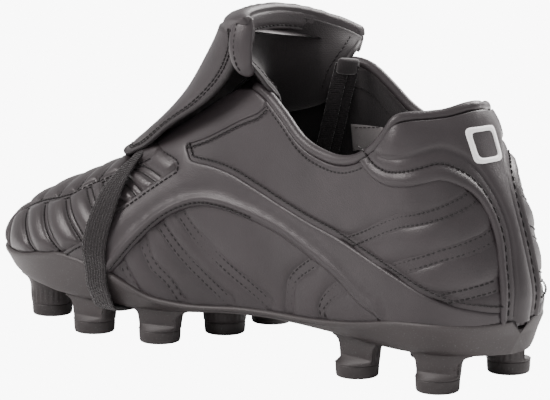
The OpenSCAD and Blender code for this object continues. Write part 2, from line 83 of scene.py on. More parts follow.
def show_white(tree, shader, kind, output):
    """Lets a shader light the scene, and shows the camera plain white in its place."""
    seen, ray, mix = (tree.nodes.new("ShaderNode" + word) for word in (kind, "LightPath", "MixShader"))
    seen.inputs["Strength"].default_value = 9.0
    tree.links.new(ray.outputs["Is Camera Ray"], mix.inputs["Fac"])
    tree.links.new(shader.outputs[0], mix.inputs[1])
    tree.links.new(seen.outputs[0], mix.inputs[2])
    tree.links.new(mix.outputs[0], tree.nodes[output].inputs["Surface"])


def make_studio():
    make_light("key", (-1.1, 0.75, 1.25), 0.8, 36, (1, 0.94, 0.93))
    make_light("rim", (0.95, -0.1, 0.9), 0.8, 34, (1, 0.96, 0.95))
    make_light("fill", (-1.2, -1.2, 0.35), 1.4, 5, (1, 0.93, 0.93))
    world = bpy.data.worlds.new("studio")
    world.use_nodes = True
    air = world.node_tree.nodes["Background"]
    air.inputs["Color"].default_value = (1, 0.98, 0.98, 1)
    air.inputs["Strength"].default_value = 0.9
    show_white(world.node_tree, air, "Background", "World Output")
    bpy.context.scene.world = world
    mesh = bpy.data.meshes.new("floor")
    mesh.from_pydata([(-6, -6, 0), (6, -6, 0), (6, 6, 0), (-6, 6, 0)], [], [(0, 1, 2, 3)])
    floor = bpy.data.objects.new("floor", mesh)
    bpy.context.scene.collection.objects.link(floor)
    pale = bpy.data.materials.new("floor")
    pale.use_nodes = True
    matt = pale.node_tree.nodes["Principled BSDF"]
    matt.inputs["Base Color"].default_value = (0.96, 0.96, 0.96, 1)
    matt.inputs["Roughness"].default_value = 0.9
    show_white(pale.node_tree, matt, "Emission", "Material Output")
    mesh.materials.append(pale)


make_camera()
make_studio()

# ---- the shape, as in part.scad
HALF = [[0, 35.5], [40, 37], [80, 35], [120, 34.5], [150, 38.5], [180, 44], [210, 48.5], [240, 49.5],
        [300, 47]]
CENTRE = [[0, 0], [60, 1], [120, 4], [160, 4], [200, 1], [240, -2], [300, -8]]
EDGE = [[0, 31], [40, 30], [65, 25.8], [95, 23], [134, 22.3], [169, 20.8], [185, 23], [197, 28],
        [208, 33], [220, 36], [238, 38], [252, 36], [268, 33.5], [300, 33.5]]
RIDGE = [[0, 150], [30, 160], [70, 172], [100, 170], [130, 153], [150, 136], [180, 111.5], [210, 89.5],
         [240, 74.8], [270, 63], [300, 52]]
ROUND = [[0, 3.2], [60, 2.8], [110, 2.3], [150, 2.1], [200, 2], [250, 2.1], [300, 2.2]]
BACK = [[20, 0], [31, -1], [42, -2], [55, 0], [66, 2.5], [83, 9], [100, 18], [110, 22], [123, 25.5],
        [140, 30], [170, 34]]
FLOOR = [[0, 27], [60, 24.5], [100, 20.5], [165, 18.5], [210, 19], [240, 22], [270, 26], [300, 29]]
UNDER = [[0, 16.5], [60, 16], [85, 17.2], [150, 17.2], [170, 15.5], [215, 15.5], [245, 17.5],
         [275, 21], [300, 25.5]]
COLLAR = {INNER: [[0, 120.3], [5, 118.2], [12, 117.3], [20, 117], [30, 115], [38, 110], [48, 103.7],
                  [62, 97], [72, 94.6], [88, 95.6], [103, 100.6], [117, 111], [131, 119.7], [140, 122],
                  [150, 120]],
          OUTER: [[0, 120.3], [5, 118.2], [12, 117.3], [20, 116.5], [30, 113], [40, 109.5], [52, 105.5],
                  [65, 104], [78, 106.5], [88, 112], [98, 121], [107, 128.5], [116, 131], [128, 128],
                  [150, 120]]}
THROAT = [[137, 122.2], [150, 120], [163, 113.5], [176, 106], [189, 98.5], [201, 91.5], [207, 88]]
ARCH = [[51, 30.5], [62, 35], [76, 44], [93, 51.5], [115, 59.5], [133, 64.3], [148, 67], [160, 67],
        [171, 63.5], [181, 57], [189, 49], [198, 38], [205, 31]]
SIDE_SEAM = [[0, 38], [8, 38.3], [17, 41], [29, 46], [46, 53], [72, 62], [100, 69], [116, 74],
             [128, 78.4], [142, 83.3], [157, 86], [168, 86.6]]
VAMP_EDGE = [[176, 82.5], [195, 69], [206, 59.5], [213, 50], [225, 43.5], [237, 37]]
COLLAR_END = 138                # the collar meets the throat
THROAT_END = 213                # the throat closes
LINING_IN = -4.0                # the lining's face, from the leather's outer surface


def curve(table, x):
    """Smooth curve through a table of [x, value]."""
    t = np.asarray(table, float)
    xs, ys = t[:, 0], t[:, 1]
    x = np.clip(x, xs[0], xs[-1])
    h, s = np.diff(xs), np.diff(ys) / np.diff(xs)
    m = np.concatenate([[s[0]], (s[:-1] * h[1:] + s[1:] * h[:-1]) / (h[1:] + h[:-1]), [s[-1]]])
    i = np.clip(np.searchsorted(xs, x, side="right") - 1, 0, len(h) - 1)
    u = (x - xs[i]) / h[i]
    return ((2 * u**3 - 3 * u**2 + 1) * ys[i] + (u**3 - 2 * u**2 + u) * h[i] * m[i]
            + (3 * u**2 - 2 * u**3) * ys[i + 1] + (u**3 - u**2) * h[i] * m[i + 1])


def bow(q, n):
    return np.maximum(0, 1 - np.clip(q, 0, 1) ** n) ** (1 / n)


def half_w(y):
    return curve(HALF, y) * bow(1 - y / 34, 2.3) * bow((y - 218) / 82, 2.15)


def rise(y):
    return (curve(RIDGE, y) - curve(EDGE, y)) * bow((y - 255) / 45, 2.6)


HEEL_PINCH = 0.38               # share by which the heel tab narrows towards its top
BELOW = 4                       # how far one row reaches below the sole edge


def skin(y, side, row):
    """Point of the upper's outer surface at a distance from the heel, on a side, at a row from the edge."""
    a, n = np.radians(90 * np.clip(row, 0, ROWS) / ROWS), curve(ROUND, y)
    c, s = np.clip(np.cos(a), 0, 1), np.sin(a)
    rho = (c**n + s**n) ** (-1 / n)
    up = rho * s
    z = curve(EDGE, y) + rise(y) * up - BELOW * np.clip(-row, 0, None)
    tuck = 1 - 0.05 * np.clip(1 - up / 0.22, 0, 1) ** 2
    pinch = 1 - HEEL_PINCH * np.clip((z - 92) / 28, 0, 1) * np.exp(-((y / 17) ** 2))
    x = curve(CENTRE, y) + side * half_w(y) * rho * c * tuck * pinch
    return np.stack([x, y + curve(BACK, z) * np.exp(-(y / 42) ** 2), z], -1)


def row_at(y, z):
    up = np.clip((z - curve(EDGE, y)) / np.maximum(rise(y), 0.01), 0, 1)
    n = curve(ROUND, y)
    return np.degrees(np.arctan2(up, (1 - up**n) ** (1 / n))) * ROWS / 90


def throat_row(y):
    return np.where(y >= THROAT_END, ROWS, row_at(y, curve(THROAT, y)))


def top_row(side, y):
    return np.where(y > COLLAR_END, throat_row(y), row_at(y, curve(COLLAR[side], y)))


# A station is an angle t, with y = 150 (1 - cos t); lengths along the shoe are measured on a low row
# and on the ridge, and lengths up a section from the sole edge.
ANGLES = np.linspace(0, math.pi, 721)
STATIONS = LENGTH / 2 * (1 - np.cos(ANGLES))


def run(points):
    """Length along a line of points, at each point."""
    return np.concatenate([[0], np.cumsum(np.linalg.norm(np.diff(points, axis=0), axis=1))])


ALONG_SIDE = run(skin(STATIONS, OUTER, np.full(721, 2.0)))
ALONG_RIDGE = run(skin(STATIONS, OUTER, np.full(721, float(ROWS))))
SECTION = np.array([run(skin(np.full(41, y), OUTER, np.linspace(0, ROWS, 41)))[-1] for y in STATIONS])


def side_chart(u, v):
    """u: length round the shoe from the heel's middle, outer side positive; v: length up from the edge."""
    y = np.interp(np.abs(u), ALONG_SIDE, STATIONS)
    return skin(y, np.where(u >= 0, OUTER, INNER), v * ROWS / np.interp(y, STATIONS, SECTION))


def top_chart(u, v):
    """u: length across from the ridge, outer side positive; v: length along the ridge from the heel."""
    y = np.interp(v, ALONG_RIDGE, STATIONS)
    return skin(y, np.where(u >= 0, OUTER, INNER), ROWS - np.abs(u) * ROWS / np.interp(y, STATIONS, SECTION))


def to_side(side, y, row):
    y = np.asarray(y, float)
    return np.stack([side * np.interp(y, STATIONS, ALONG_SIDE),
                     row * np.interp(y, STATIONS, SECTION) / ROWS], -1)


def to_top(side, y, row):
    y = np.asarray(y, float)
    return np.stack([side * (ROWS - row) * np.interp(y, STATIONS, SECTION) / ROWS,
                     np.interp(y, STATIONS, ALONG_RIDGE)], -1)


def side_line(side, points):
    """Chart line through [distance, height] points."""
    p = np.asarray(points, float)
    return to_side(side, p[:, 0], row_at(p[:, 0], p[:, 1]))


def side_curve(side, table, start, end, step=3.0):
    y = np.linspace(start, end, max(2, int(abs(end - start) / step) + 1))
    return to_side(side, y, row_at(y, curve(table, y)))


def heel_point(x, z):
    """Chart point on the heel's back at a distance across from the middle and a height."""
    y = STATIONS[:240]
    across = skin(y, OUTER, row_at(y, np.full(len(y), float(z))))[:, 0] - curve(CENTRE, y)
    d = np.interp(abs(x), across, y)
    return to_side(1 if x >= 0 else -1, d, row_at(d, float(z)))


def unit(v):
    return v / np.maximum(np.linalg.norm(v, axis=-1, keepdims=True), 1e-9)


def spot(chart, uv):
    return chart(uv[:, 0], uv[:, 1])


def normals(chart, uv):
    e = 0.25
    u, v = uv[:, 0], uv[:, 1]
    return unit(np.cross(chart(u + e, v) - chart(u - e, v), chart(u, v + e) - chart(u, v - e)))


def lift(chart, uv, d):
    """Points of a chart, moved out by d."""
    return spot(chart, uv) + normals(chart, uv) * np.reshape(d, (-1, 1))


# ---- lines and outlines in a chart
def smooth(points, step=2.0):
    """Catmull-Rom curve through points, sampled about every step."""
    p = np.asarray(points, float)
    q = np.vstack([2 * p[:1] - p[1:2], p, 2 * p[-1:] - p[-2:-1]])
    out = []
    for i in range(1, len(q) - 2):
        n = max(1, int(np.linalg.norm(q[i + 1] - q[i]) / step))
        t = np.arange(n)[:, None] / n
        out.append(0.5 * (2 * q[i] + (q[i + 1] - q[i - 1]) * t
                          + (2 * q[i - 1] - 5 * q[i] + 4 * q[i + 1] - q[i + 2]) * t**2
                          + (3 * q[i] - q[i - 1] - 3 * q[i + 1] + q[i + 2]) * t**3))
    return np.vstack(out + [q[-2:-1]])


def resample(line, step):
    """Points at equal steps along a line."""
    length = run(line)
    s = np.linspace(0, length[-1], max(2, int(round(length[-1] / step)) + 1))
    return np.stack([np.interp(s, length, line[:, k]) for k in range(line.shape[1])], -1)


def beside(line, offset):
    """The line moved sideways, to its left if offset is positive."""
    d = unit(np.gradient(line, axis=0))
    return line + offset * np.stack([-d[:, 1], d[:, 0]], -1)


def closed_ring(line):
    return np.vstack([line, line[:1]])


def reach(points, line):
    """Distance of each point from a line."""
    a, ab = line[:-1], np.diff(line, axis=0)
    span = np.maximum((ab**2).sum(1), 1e-12)
    best = np.full(len(points), 1e9)
    for first in range(0, len(points), 4000):
        p = points[first:first + 4000, None] - a
        t = np.clip((p * ab).sum(2) / span, 0, 1)
        best[first:first + 4000] = ((p - t[..., None] * ab) ** 2).sum(2).min(1, initial=1e9)
    return np.sqrt(best)


def nearest(points, lines):
    return np.min([reach(points, line) for line in lines], axis=0) if lines else np.full(len(points), 1e9)


def inside(points, ring):
    x, y = points[:, 0], points[:, 1]
    odd = np.zeros(len(points), bool)
    for a, b in zip(ring, np.roll(ring, -1, axis=0)):
        if a[1] != b[1]:
            odd ^= ((a[1] > y) != (b[1] > y)) & (x < (b[0] - a[0]) * (y - a[1]) / (b[1] - a[1]) + a[0])
    return odd


def triangles(ring, extra):
    verts, _, faces, *_ = delaunay_2d_cdt([Vector(p) for p in np.vstack([ring, extra])], [],
                                          [list(range(len(ring)))], 1, 1e-5)
    return np.array([v[:] for v in verts]), [list(f) for f in faces]


def lattice(ring, spacing):
    lo, hi = ring.min(0), ring.max(0)
    rows = np.arange(lo[1], hi[1], spacing * 0.87)
    cols = np.arange(lo[0], hi[0], spacing)
    return np.array([(x + (j % 2) * spacing / 2, y) for j, y in enumerate(rows) for x in cols])


INSETS = (0.35, 0.9, 1.8)       # how far inside an outline its rounds of points lie


def fill_points(ring, spacing, seams):
    """Points inside an outline: rounds near its edge, rows along each seam, and an even lattice."""
    border = closed_ring(ring)
    x, y = ring.T
    turn = 1 if (x * np.roll(y, -1) - np.roll(x, -1) * y).sum() > 0 else -1
    rounds = []
    for inset in INSETS:
        p = beside(border, turn * inset)[:-1]
        rounds.append(p[(reach(p, border) > inset * 0.8) & inside(p, ring)])
    near = []
    for seam in seams:
        fine = resample(seam, 1.2)
        near += [beside(fine, o) for o in (-1.4, -0.75, 0, 0.75, 1.4)]
    near = np.vstack(near) if near else np.zeros((0, 2))
    near = near[inside(near, ring)]
    near = near[reach(near, border) > INSETS[-1] + 0.4]
    grid = lattice(ring, spacing)
    grid = grid[inside(grid, ring)]
    grid = grid[reach(grid, border) > INSETS[-1] + 0.6]
    grid = grid[nearest(grid, seams) > 1.5 + spacing * 0.4]
    return thin(np.vstack(rounds + [near]), 0.28), grid


def thin(points, gap):
    """Leaves out points that fall in a cell already taken."""
    _, first = np.unique(np.round(points / gap).astype(int), axis=0, return_index=True)
    return points[np.sort(first)]


# ---- meshes
def face_outward(mesh):
    """Turns a closed mesh's faces outward, by the sign of its volume."""
    mesh.calc_loop_triangles()
    corners = np.empty(len(mesh.loop_triangles) * 3, np.int32)
    mesh.loop_triangles.foreach_get("vertices", corners)
    place = np.empty(len(mesh.vertices) * 3)
    mesh.vertices.foreach_get("co", place)
    t = place.reshape(-1, 3)[corners.reshape(-1, 3)] - place.reshape(-1, 3).mean(0)
    if np.einsum("ij,ij->i", t[:, 0], np.cross(t[:, 1], t[:, 2])).sum() < 0:
        mesh.flip_normals()


def make(name, verts, faces, material, body="root"):
    """A piece of the visual model, on a body, in its material's slot."""
    mesh = bpy.data.meshes.new(name)
    mesh.from_pydata((np.asarray(verts, float) * MM + (0, DATUM_Y * MM, 0)).tolist(), [],
                     [list(map(int, f)) for f in faces])
    mesh.materials.append(MATERIALS[material])
    mesh.update()
    face_outward(mesh)
    mesh.shade_smooth()
    obj = bpy.data.objects.new(name, mesh)
    bpy.context.scene.collection.objects.link(obj)
    if body:
        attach(obj, body)
    return obj


def border_edges(faces):
    seen = {}
    for f in faces:
        for a, b in zip(f, f[1:] + f[:1]):
            if (b, a) in seen:
                del seen[(b, a)]
            else:
                seen[(a, b)] = True
    return list(seen)


def panel(name, ring, chart, height, material, spacing=2.2, seams=(), back=-0.5, body="root"):
    """A sheet sewn on a surface: its outline in a chart, its height over the chart, and its back."""
    near, grid = fill_points(ring, spacing, list(seams))
    uv, faces = triangles(ring, np.vstack([near, grid]))
    top = lift(chart, uv, height(uv, reach(uv, closed_ring(ring))))
    coarse = lattice(ring, 7)
    coarse = coarse[inside(coarse, ring)]
    coarse = coarse[reach(coarse, closed_ring(ring)) > 3]
    uv2, faces2 = triangles(ring, coarse)
    bottom = lift(chart, uv2, back)
    where = {tuple(np.round(p, 3)): i for i, p in enumerate(uv2)}
    walls = []
    for a, b in border_edges(faces):
        ka, kb = tuple(np.round(uv[a], 3)), tuple(np.round(uv[b], 3))
        if ka in where and kb in where:
            walls.append([b, a, where[ka] + len(uv), where[kb] + len(uv)])
    under = [[i + len(uv) for i in reversed(f)] for f in faces2]
    return make(name, np.vstack([top, bottom]), faces + under + walls, material, body)


def grid_faces(n, m, flip=False, first=0):
    out = []
    for i in range(n - 1):
        for j in range(m - 1):
            a = first + i * m + j
            q = [a, a + 1, a + m + 1, a + m]
            out.append(q[::-1] if flip else q)
    return out


def slab(name, top, low, material, body="root", flip=False):
    """Closed sheet between two grids of points."""
    n, m = top.shape[:2]
    verts = np.vstack([top.reshape(-1, 3), low.reshape(-1, 3)])
    faces = grid_faces(n, m, flip) + grid_faces(n, m, not flip, n * m)
    rim = ([(i, 0) for i in range(n)] + [(n - 1, j) for j in range(1, m)]
           + [(i, m - 1) for i in range(n - 2, -1, -1)] + [(0, j) for j in range(m - 2, 0, -1)])
    ids = [i * m + j for i, j in rim]
    for a, b in zip(ids, ids[1:] + ids[:1]):
        q = [a, b, b + n * m, a + n * m]
        faces.append(q[::-1] if flip else q)
    return make(name, verts, faces, material, body)


def ring_faces(n, m, looped=False):
    """Faces between n closed rings of m points, and from the last back to the first if looped."""
    return [[i * m + j, i * m + (j + 1) % m, (i + 1) % n * m + (j + 1) % m, (i + 1) % n * m + j]
            for i in range(n if looped else n - 1) for j in range(m)]


def fans(n, m):
    """Faces from the first and last of n rings to the two points after them."""
    return ([[(j + 1) % m, j, n * m] for j in range(m)]
            + [[(n - 1) * m + j, (n - 1) * m + (j + 1) % m, n * m + 1] for j in range(m)])


def tube_mesh(path, rx, ry, sides, up):
    """Vertices and faces of a capped tube along a path; rx lies across, ry along up."""
    p = np.asarray(path, float)
    t = unit(np.gradient(p, axis=0))
    u = unit(np.cross(t, np.broadcast_to(np.asarray(up, float), p.shape)))
    v = np.cross(u, t)
    a = 2 * np.pi * np.arange(sides) / sides
    rx, ry = (np.broadcast_to(np.asarray(r, float), (len(p),))[:, None, None] for r in (rx, ry))
    rings = (p[:, None] + rx * np.cos(a)[None, :, None] * u[:, None]
             + ry * np.sin(a)[None, :, None] * v[:, None])
    ends = [list(range(sides))[::-1], [(len(p) - 1) * sides + j for j in range(sides)]]
    return rings.reshape(-1, 3), ring_faces(len(p), sides) + ends


def tube(name, path, rx, ry, sides, up, material, body="root"):
    verts, faces = tube_mesh(path, rx, ry, sides, up)
    return make(name, verts, faces, material, body)


def joined(name, parts, material, body="root"):
    verts, faces, first = [], [], 0
    for v, f in parts:
        verts.append(v)
        faces += [[i + first for i in q] for q in f]
        first += len(v)
    return make(name, np.vstack(verts), faces, material, body)


PITCH, STITCH, THREAD = 2.6, 1.9, 0.36


def stitches(name, chart, lines, heights, body="root", thread=THREAD):
    """Lock stitches along chart lines; heights gives the leather's height at chart points."""
    uv = []
    for line in lines:
        length = run(line)
        starts = np.arange(PITCH / 2, length[-1] - STITCH, PITCH)
        at = starts[:, None] + np.array([0, 0.18, 0.5, 0.82, 1]) * STITCH
        uv.append(np.stack([np.interp(at, length, line[:, k]) for k in (0, 1)], -1))
    uv = np.vstack(uv).reshape(-1, 2)
    n = normals(chart, uv)
    dive = np.tile([-0.3, 0.38, 0.55, 0.38, -0.3], len(uv) // 5)
    path = (spot(chart, uv) + n * (heights(uv) + dive)[:, None]).reshape(-1, 5, 3)
    thick = thread * np.array([0.5, 1, 1.05, 1, 0.5])
    parts = [tube_mesh(p, thick, thread, 5, up) for p, up in zip(path, n[2::5])]
    return joined(name, parts, "thread", body)


# ---- materials
MATERIALS = {}


class Nodes:
    """Short names for building a node material."""

    def __init__(self, name):
        self.material = bpy.data.materials.new(name)
        self.material.use_nodes = True
        self.tree = self.material.node_tree
        self.shader = self.tree.nodes["Principled BSDF"]
        MATERIALS[name] = self.material

    def add(self, kind, settings=(), **inputs):
        node = self.tree.nodes.new(kind)
        for key, value in settings:
            setattr(node, key, value)
        for key, value in inputs.items():
            self.put(node, key.replace("_", " "), value)
        return node

    def put(self, node, key, value):
        if hasattr(value, "is_output"):
            self.tree.links.new(value, node.inputs[key])
        else:
            node.inputs[key].default_value = value

    def coords(self):
        return self.add("ShaderNodeTexCoord").outputs["Object"]

    def noise(self, scale, detail=3.0, rough=0.5):
        return self.add("ShaderNodeTexNoise", Vector=self.coords(), Scale=scale, Detail=detail,
                        Roughness=rough).outputs["Fac"]

    def cells(self, scale, **more):
        return self.add("ShaderNodeTexVoronoi", Vector=self.coords(), Scale=scale, **more).outputs["Distance"]

    def ramp(self, value, stops):
        node = self.add("ShaderNodeValToRGB", Fac=value)
        while len(node.color_ramp.elements) < len(stops):
            node.color_ramp.elements.new(0.5)
        for element, (place, colour) in zip(node.color_ramp.elements, stops):
            element.position = place
            element.color = (*colour, 1)
        return node.outputs["Color"]

    def spread(self, value, low, high):
        return self.add("ShaderNodeMapRange", Value=value, To_Min=low, To_Max=high).outputs["Result"]

    def bump(self, height, distance, strength=1.0, below=None):
        node = self.add("ShaderNodeBump", Height=height, Distance=distance, Strength=strength)
        if below is not None:
            self.put(node, "Normal", below)
        return node.outputs["Normal"]

    def look(self, **values):
        for key, value in values.items():
            self.put(self.shader, key.replace("_", " "), value)


def leather(name, dark, light, rough, grain):
    """Coated leather: fine pebbles, slow colour drift, creases and a soft satin gloss."""
    m = Nodes(name)
    drift = m.noise(28, 3)
    pebbles = m.cells(grain)
    pores = m.noise(grain * 2.2, 2)
    creases = m.noise(160, 4, 0.62)
    normal = m.bump(pebbles, 0.00012, 0.5)
    normal = m.bump(pores, 0.00006, 0.5, normal)
    normal = m.bump(creases, 0.0004, 0.25, normal)
    m.look(Base_Color=m.ramp(drift, [(0.3, dark), (0.72, light)]),
           Roughness=m.spread(creases, rough - 0.06, rough + 0.1), Normal=normal, Specular_IOR_Level=0.36)


def cloth(name, dark, light, rough, scale, depth=0.0002, sheen=0.3):
    """Knitted or woven cloth: fine cells at the given number per metre, with fuzz."""
    m = Nodes(name)
    cells = m.cells(scale, Randomness=0.55)
    drift, fuzz = m.noise(35, 3), m.noise(1400, 2)
    both = m.add("ShaderNodeMath", [("operation", "MULTIPLY_ADD")])
    for key, value in enumerate((cells, 0.35)):
        m.put(both, key, value)
    m.put(both, 2, drift)
    normal = m.bump(fuzz, 0.0001, 0.4, m.bump(cells, depth, 0.6))
    m.look(Base_Color=m.ramp(both.outputs[0], [(0.35, dark), (0.9, light)]), Roughness=rough,
           Normal=normal, Sheen_Weight=sheen, Sheen_Roughness=0.5, Specular_IOR_Level=0.25)


def moulded(name, dark, light, rough, speck):
    """Moulded plastic or rubber with a fine texture and, if speck is above 0, pale specks."""
    m = Nodes(name)
    drift = m.noise(40, 3)
    fine = m.noise(2300, 2, 0.6)
    colour = m.ramp(drift, [(0.3, dark), (0.7, light)])
    if speck:
        dots = m.ramp(m.noise(1500, 1, 0.4), [(0.64, (0, 0, 0)), (0.74, (1, 1, 1))])
        mix = m.add("ShaderNodeMixRGB", Fac=dots, Color1=colour, Color2=(speck, speck, speck, 1))
        colour = mix.outputs["Color"]
    m.look(Base_Color=colour, Roughness=m.spread(drift, rough - 0.05, rough + 0.08),
           Normal=m.bump(fine, 0.00015, 0.6), Specular_IOR_Level=0.4)


def braided(name, dark, light, scale, sheen=0.4):
    """Narrow woven or braided goods: cords side by side with a cross beat."""
    m = Nodes(name)
    cells = m.cells(scale)
    ribs = m.add("ShaderNodeTexWave", [("bands_direction", "Z")], Vector=m.coords(), Scale=scale / 3.4,
                 Distortion=0.6, Detail=1.0).outputs["Fac"]
    normal = m.bump(ribs, 0.0003, 0.6, m.bump(cells, 0.0004, 0.8))
    m.look(Base_Color=m.ramp(cells, [(0.0, light), (0.6, dark)]), Roughness=0.8, Normal=normal,
           Sheen_Weight=sheen, Sheen_Roughness=0.4, Specular_IOR_Level=0.25)


def make_materials():
    leather("leather", (0.019, 0.0155, 0.0168), (0.029, 0.024, 0.026), 0.42, 1500)
    leather("smooth_leather", (0.020, 0.0165, 0.0178), (0.030, 0.025, 0.027), 0.40, 1700)
    leather("vamp_leather", (0.020, 0.0165, 0.0175), (0.031, 0.026, 0.0275), 0.36, 1500)
    leather("edge", (0.012, 0.010, 0.0105), (0.018, 0.015, 0.016), 0.55, 1300)
    cloth("lining", (0.0075, 0.006, 0.0066), (0.016, 0.0135, 0.0145), 0.85, 1300)
    cloth("footbed", (0.010, 0.009, 0.0095), (0.018, 0.0165, 0.017), 0.9, 900)
    cloth("foam", (0.42, 0.42, 0.4), (0.5, 0.5, 0.47), 0.95, 700, 0.0002, 0.1)
    cloth("board", (0.36, 0.3, 0.22), (0.46, 0.4, 0.3), 0.85, 500, 0.0001, 0.0)
    cloth("label", (0.20, 0.19, 0.19), (0.32, 0.30, 0.30), 0.85, 1600, 0.0002, 0.1)
    braided("webbing", (0.008, 0.0065, 0.007), (0.020, 0.017, 0.018), 1500, 0.25)
    braided("braid", (0.007, 0.006, 0.0065), (0.019, 0.016, 0.017), 1100, 0.25)
    moulded("plate", (0.0235, 0.0195, 0.0198), (0.031, 0.026, 0.0262), 0.5, 0.05)
    moulded("tip", (0.018, 0.0148, 0.015), (0.025, 0.021, 0.0212), 0.55, 0.04)
    moulded("aglet", (0.010, 0.010, 0.010), (0.014, 0.014, 0.014), 0.25, 0)
    moulded("thread", (0.006, 0.005, 0.005), (0.010, 0.0085, 0.009), 0.7, 0)
    moulded("mark", (0.78, 0.78, 0.78), (0.84, 0.84, 0.84), 0.5, 0)
    moulded("stiffener", (0.36, 0.30, 0.22), (0.42, 0.36, 0.27), 0.6, 0)
    moulded("steel", (0.42, 0.43, 0.45), (0.48, 0.49, 0.51), 0.35, 0)
    MATERIALS["steel"].node_tree.nodes["Principled BSDF"].inputs["Metallic"].default_value = 1.0


make_materials()


# ---- shared height profiles
def rounded(d, r):
    """Fall of a rounded edge: 0 inside, -r at the edge."""
    return np.sqrt(np.maximum(r * r - (r - np.clip(d, 0, r)) ** 2, 0)) - r


def groove(d, depth=0.35, width=0.75):
    return -depth * np.exp(-((d / width) ** 2))


def swell(d, height, width):
    """Soft rise away from a line, level after width."""
    q = np.clip(d / width, 0, 1)
    return height * np.sqrt(1 - (1 - q) ** 2)


def waviness(p):
    """Slow unevenness of soft leather, from places in the surface."""
    x, y, z = p.T
    return (0.16 * np.sin(y / 9.3 + z / 13 + 0.8 * np.sin(x / 11)) * np.sin(z / 8.1 - y / 21)
            + 0.10 * np.sin(y / 4.7 + x / 6.1) * np.sin(z / 5.3 + 1.7))


def inner_height(height):
    """A piece's height away from its edge, as a function of chart points alone."""
    return lambda uv: height(uv, np.full(len(uv), 9.0))


def outline(*lines, step=2.0):
    """One closed ring from lines that follow each other."""
    ring = np.vstack([resample(np.asarray(line, float), step)[:-1] if len(line) > 1 else line
                      for line in lines])
    keep = np.linalg.norm(ring - np.roll(ring, 1, axis=0), axis=1) > 0.25
    return ring[keep]


def side_places(side, pairs):
    """Chart points from [distance, height] pairs, in a smooth line."""
    return smooth(side_line(side, pairs))


def bottom(side, start, end):
    """Line just under the sole edge."""
    y = np.linspace(start, end, max(2, int(abs(end - start) / 3)))
    return to_side(side, y, np.full(len(y), -0.6))


def top_edge(side, start, end):
    """Line along the collar and the throat."""
    y = np.linspace(start, end, max(2, int(abs(end - start) / 1.5)))
    return to_side(side, y, top_row(side, y))


def sewn(name, nodes, row_name, rows, chart, height, ring, material, spacing, seams, back=-0.5, body="root",
         thread=THREAD):
    """A panel that replaces CAD nodes, with stitches along its rows."""
    piece = panel(name, ring, chart, height, material, spacing, seams, back, body)
    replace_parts(piece, *nodes)
    stitches(row_name, chart, rows, inner_height(height), body, thread)
    return piece


# ---- quarters
STRIPS = [[(198, 37), (193, 26)], [(188, 48.5), (182, 38), (174, 31), (168, 22)],
          [(180, 57), (169, 46), (156, 35), (142, 24)], [(170, 63), (159, 52.5), (142, 40), (120, 26)],
          [(90, 50), (101, 43), (106, 37), (108, 24)], [(72, 42), (82, 35), (87, 29), (86, 23)]]
ROW_GAP = 2.9                   # between the two seams of a double row


def rear_rows(side):
    """Middles of the double rows from the side seam back to the heel panel."""
    ends = [(70, 61, 34.5, 74.4, 18, 84.8, 14, 87), (42, 52.3, 16.8, 61.5, 16, 67.7, 12, 69.5),
            (19.5, 42, 15, 43.5, 23.7, 46, 13, 48.5)]
    lines = []
    for a in ends:
        near = side_line(side, [a[0:2], a[2:4]])
        far = [heel_point(side * a[4], a[5]), heel_point(side * a[6], a[7])]
        lines.append(resample(np.vstack([near, *far]), 2.0))
    return lines


def doubled(lines, gap=ROW_GAP):
    return [beside(line, s * gap / 2) for line in lines for s in (-1, 1)]


def quarter(side, name):
    rows = rear_rows(side) + [side_places(side, strip) for strip in STRIPS]
    seams = doubled(rows)
    ring = outline(bottom(side, 0, 238), side_curve(side, VAMP_EDGE, 237, 176),
                   side_line(side, [(176, 82.5), (185, 85.5), (198, 88), (207, 88)]), top_edge(side, 207, 0),
                   to_side(side, [0, 0], np.array([float(top_row(side, 0.0)), -0.6])))

    def height(uv, edge):
        middle = nearest(uv, rows)
        near = np.maximum(middle - ROW_GAP / 2 - 0.5, 0)
        return (swell(near, 1.2, 7) - 0.7 + groove(nearest(uv, seams), 0.4, 0.8)
                + rounded(edge, 0.5) + waviness(spot(side_chart, uv)))

    sewn(name, [name], name + "_stitches", seams, side_chart, height, ring, "leather", 2.4, seams)


# ---- side overlays and eyestays
EYESTAY_SEAM = {INNER: [(126, 116), (131, 111.5), (143, 106.6), (160, 98.2), (174, 93), (173.6, 92.6),
                        (168.5, 87)],
                OUTER: [(117, 131), (124, 121), (132, 113), (143, 106.6), (160, 98.2), (174, 93),
                        (173.6, 92.6), (168.5, 87)]}
OVERLAY_RISE = 1.1


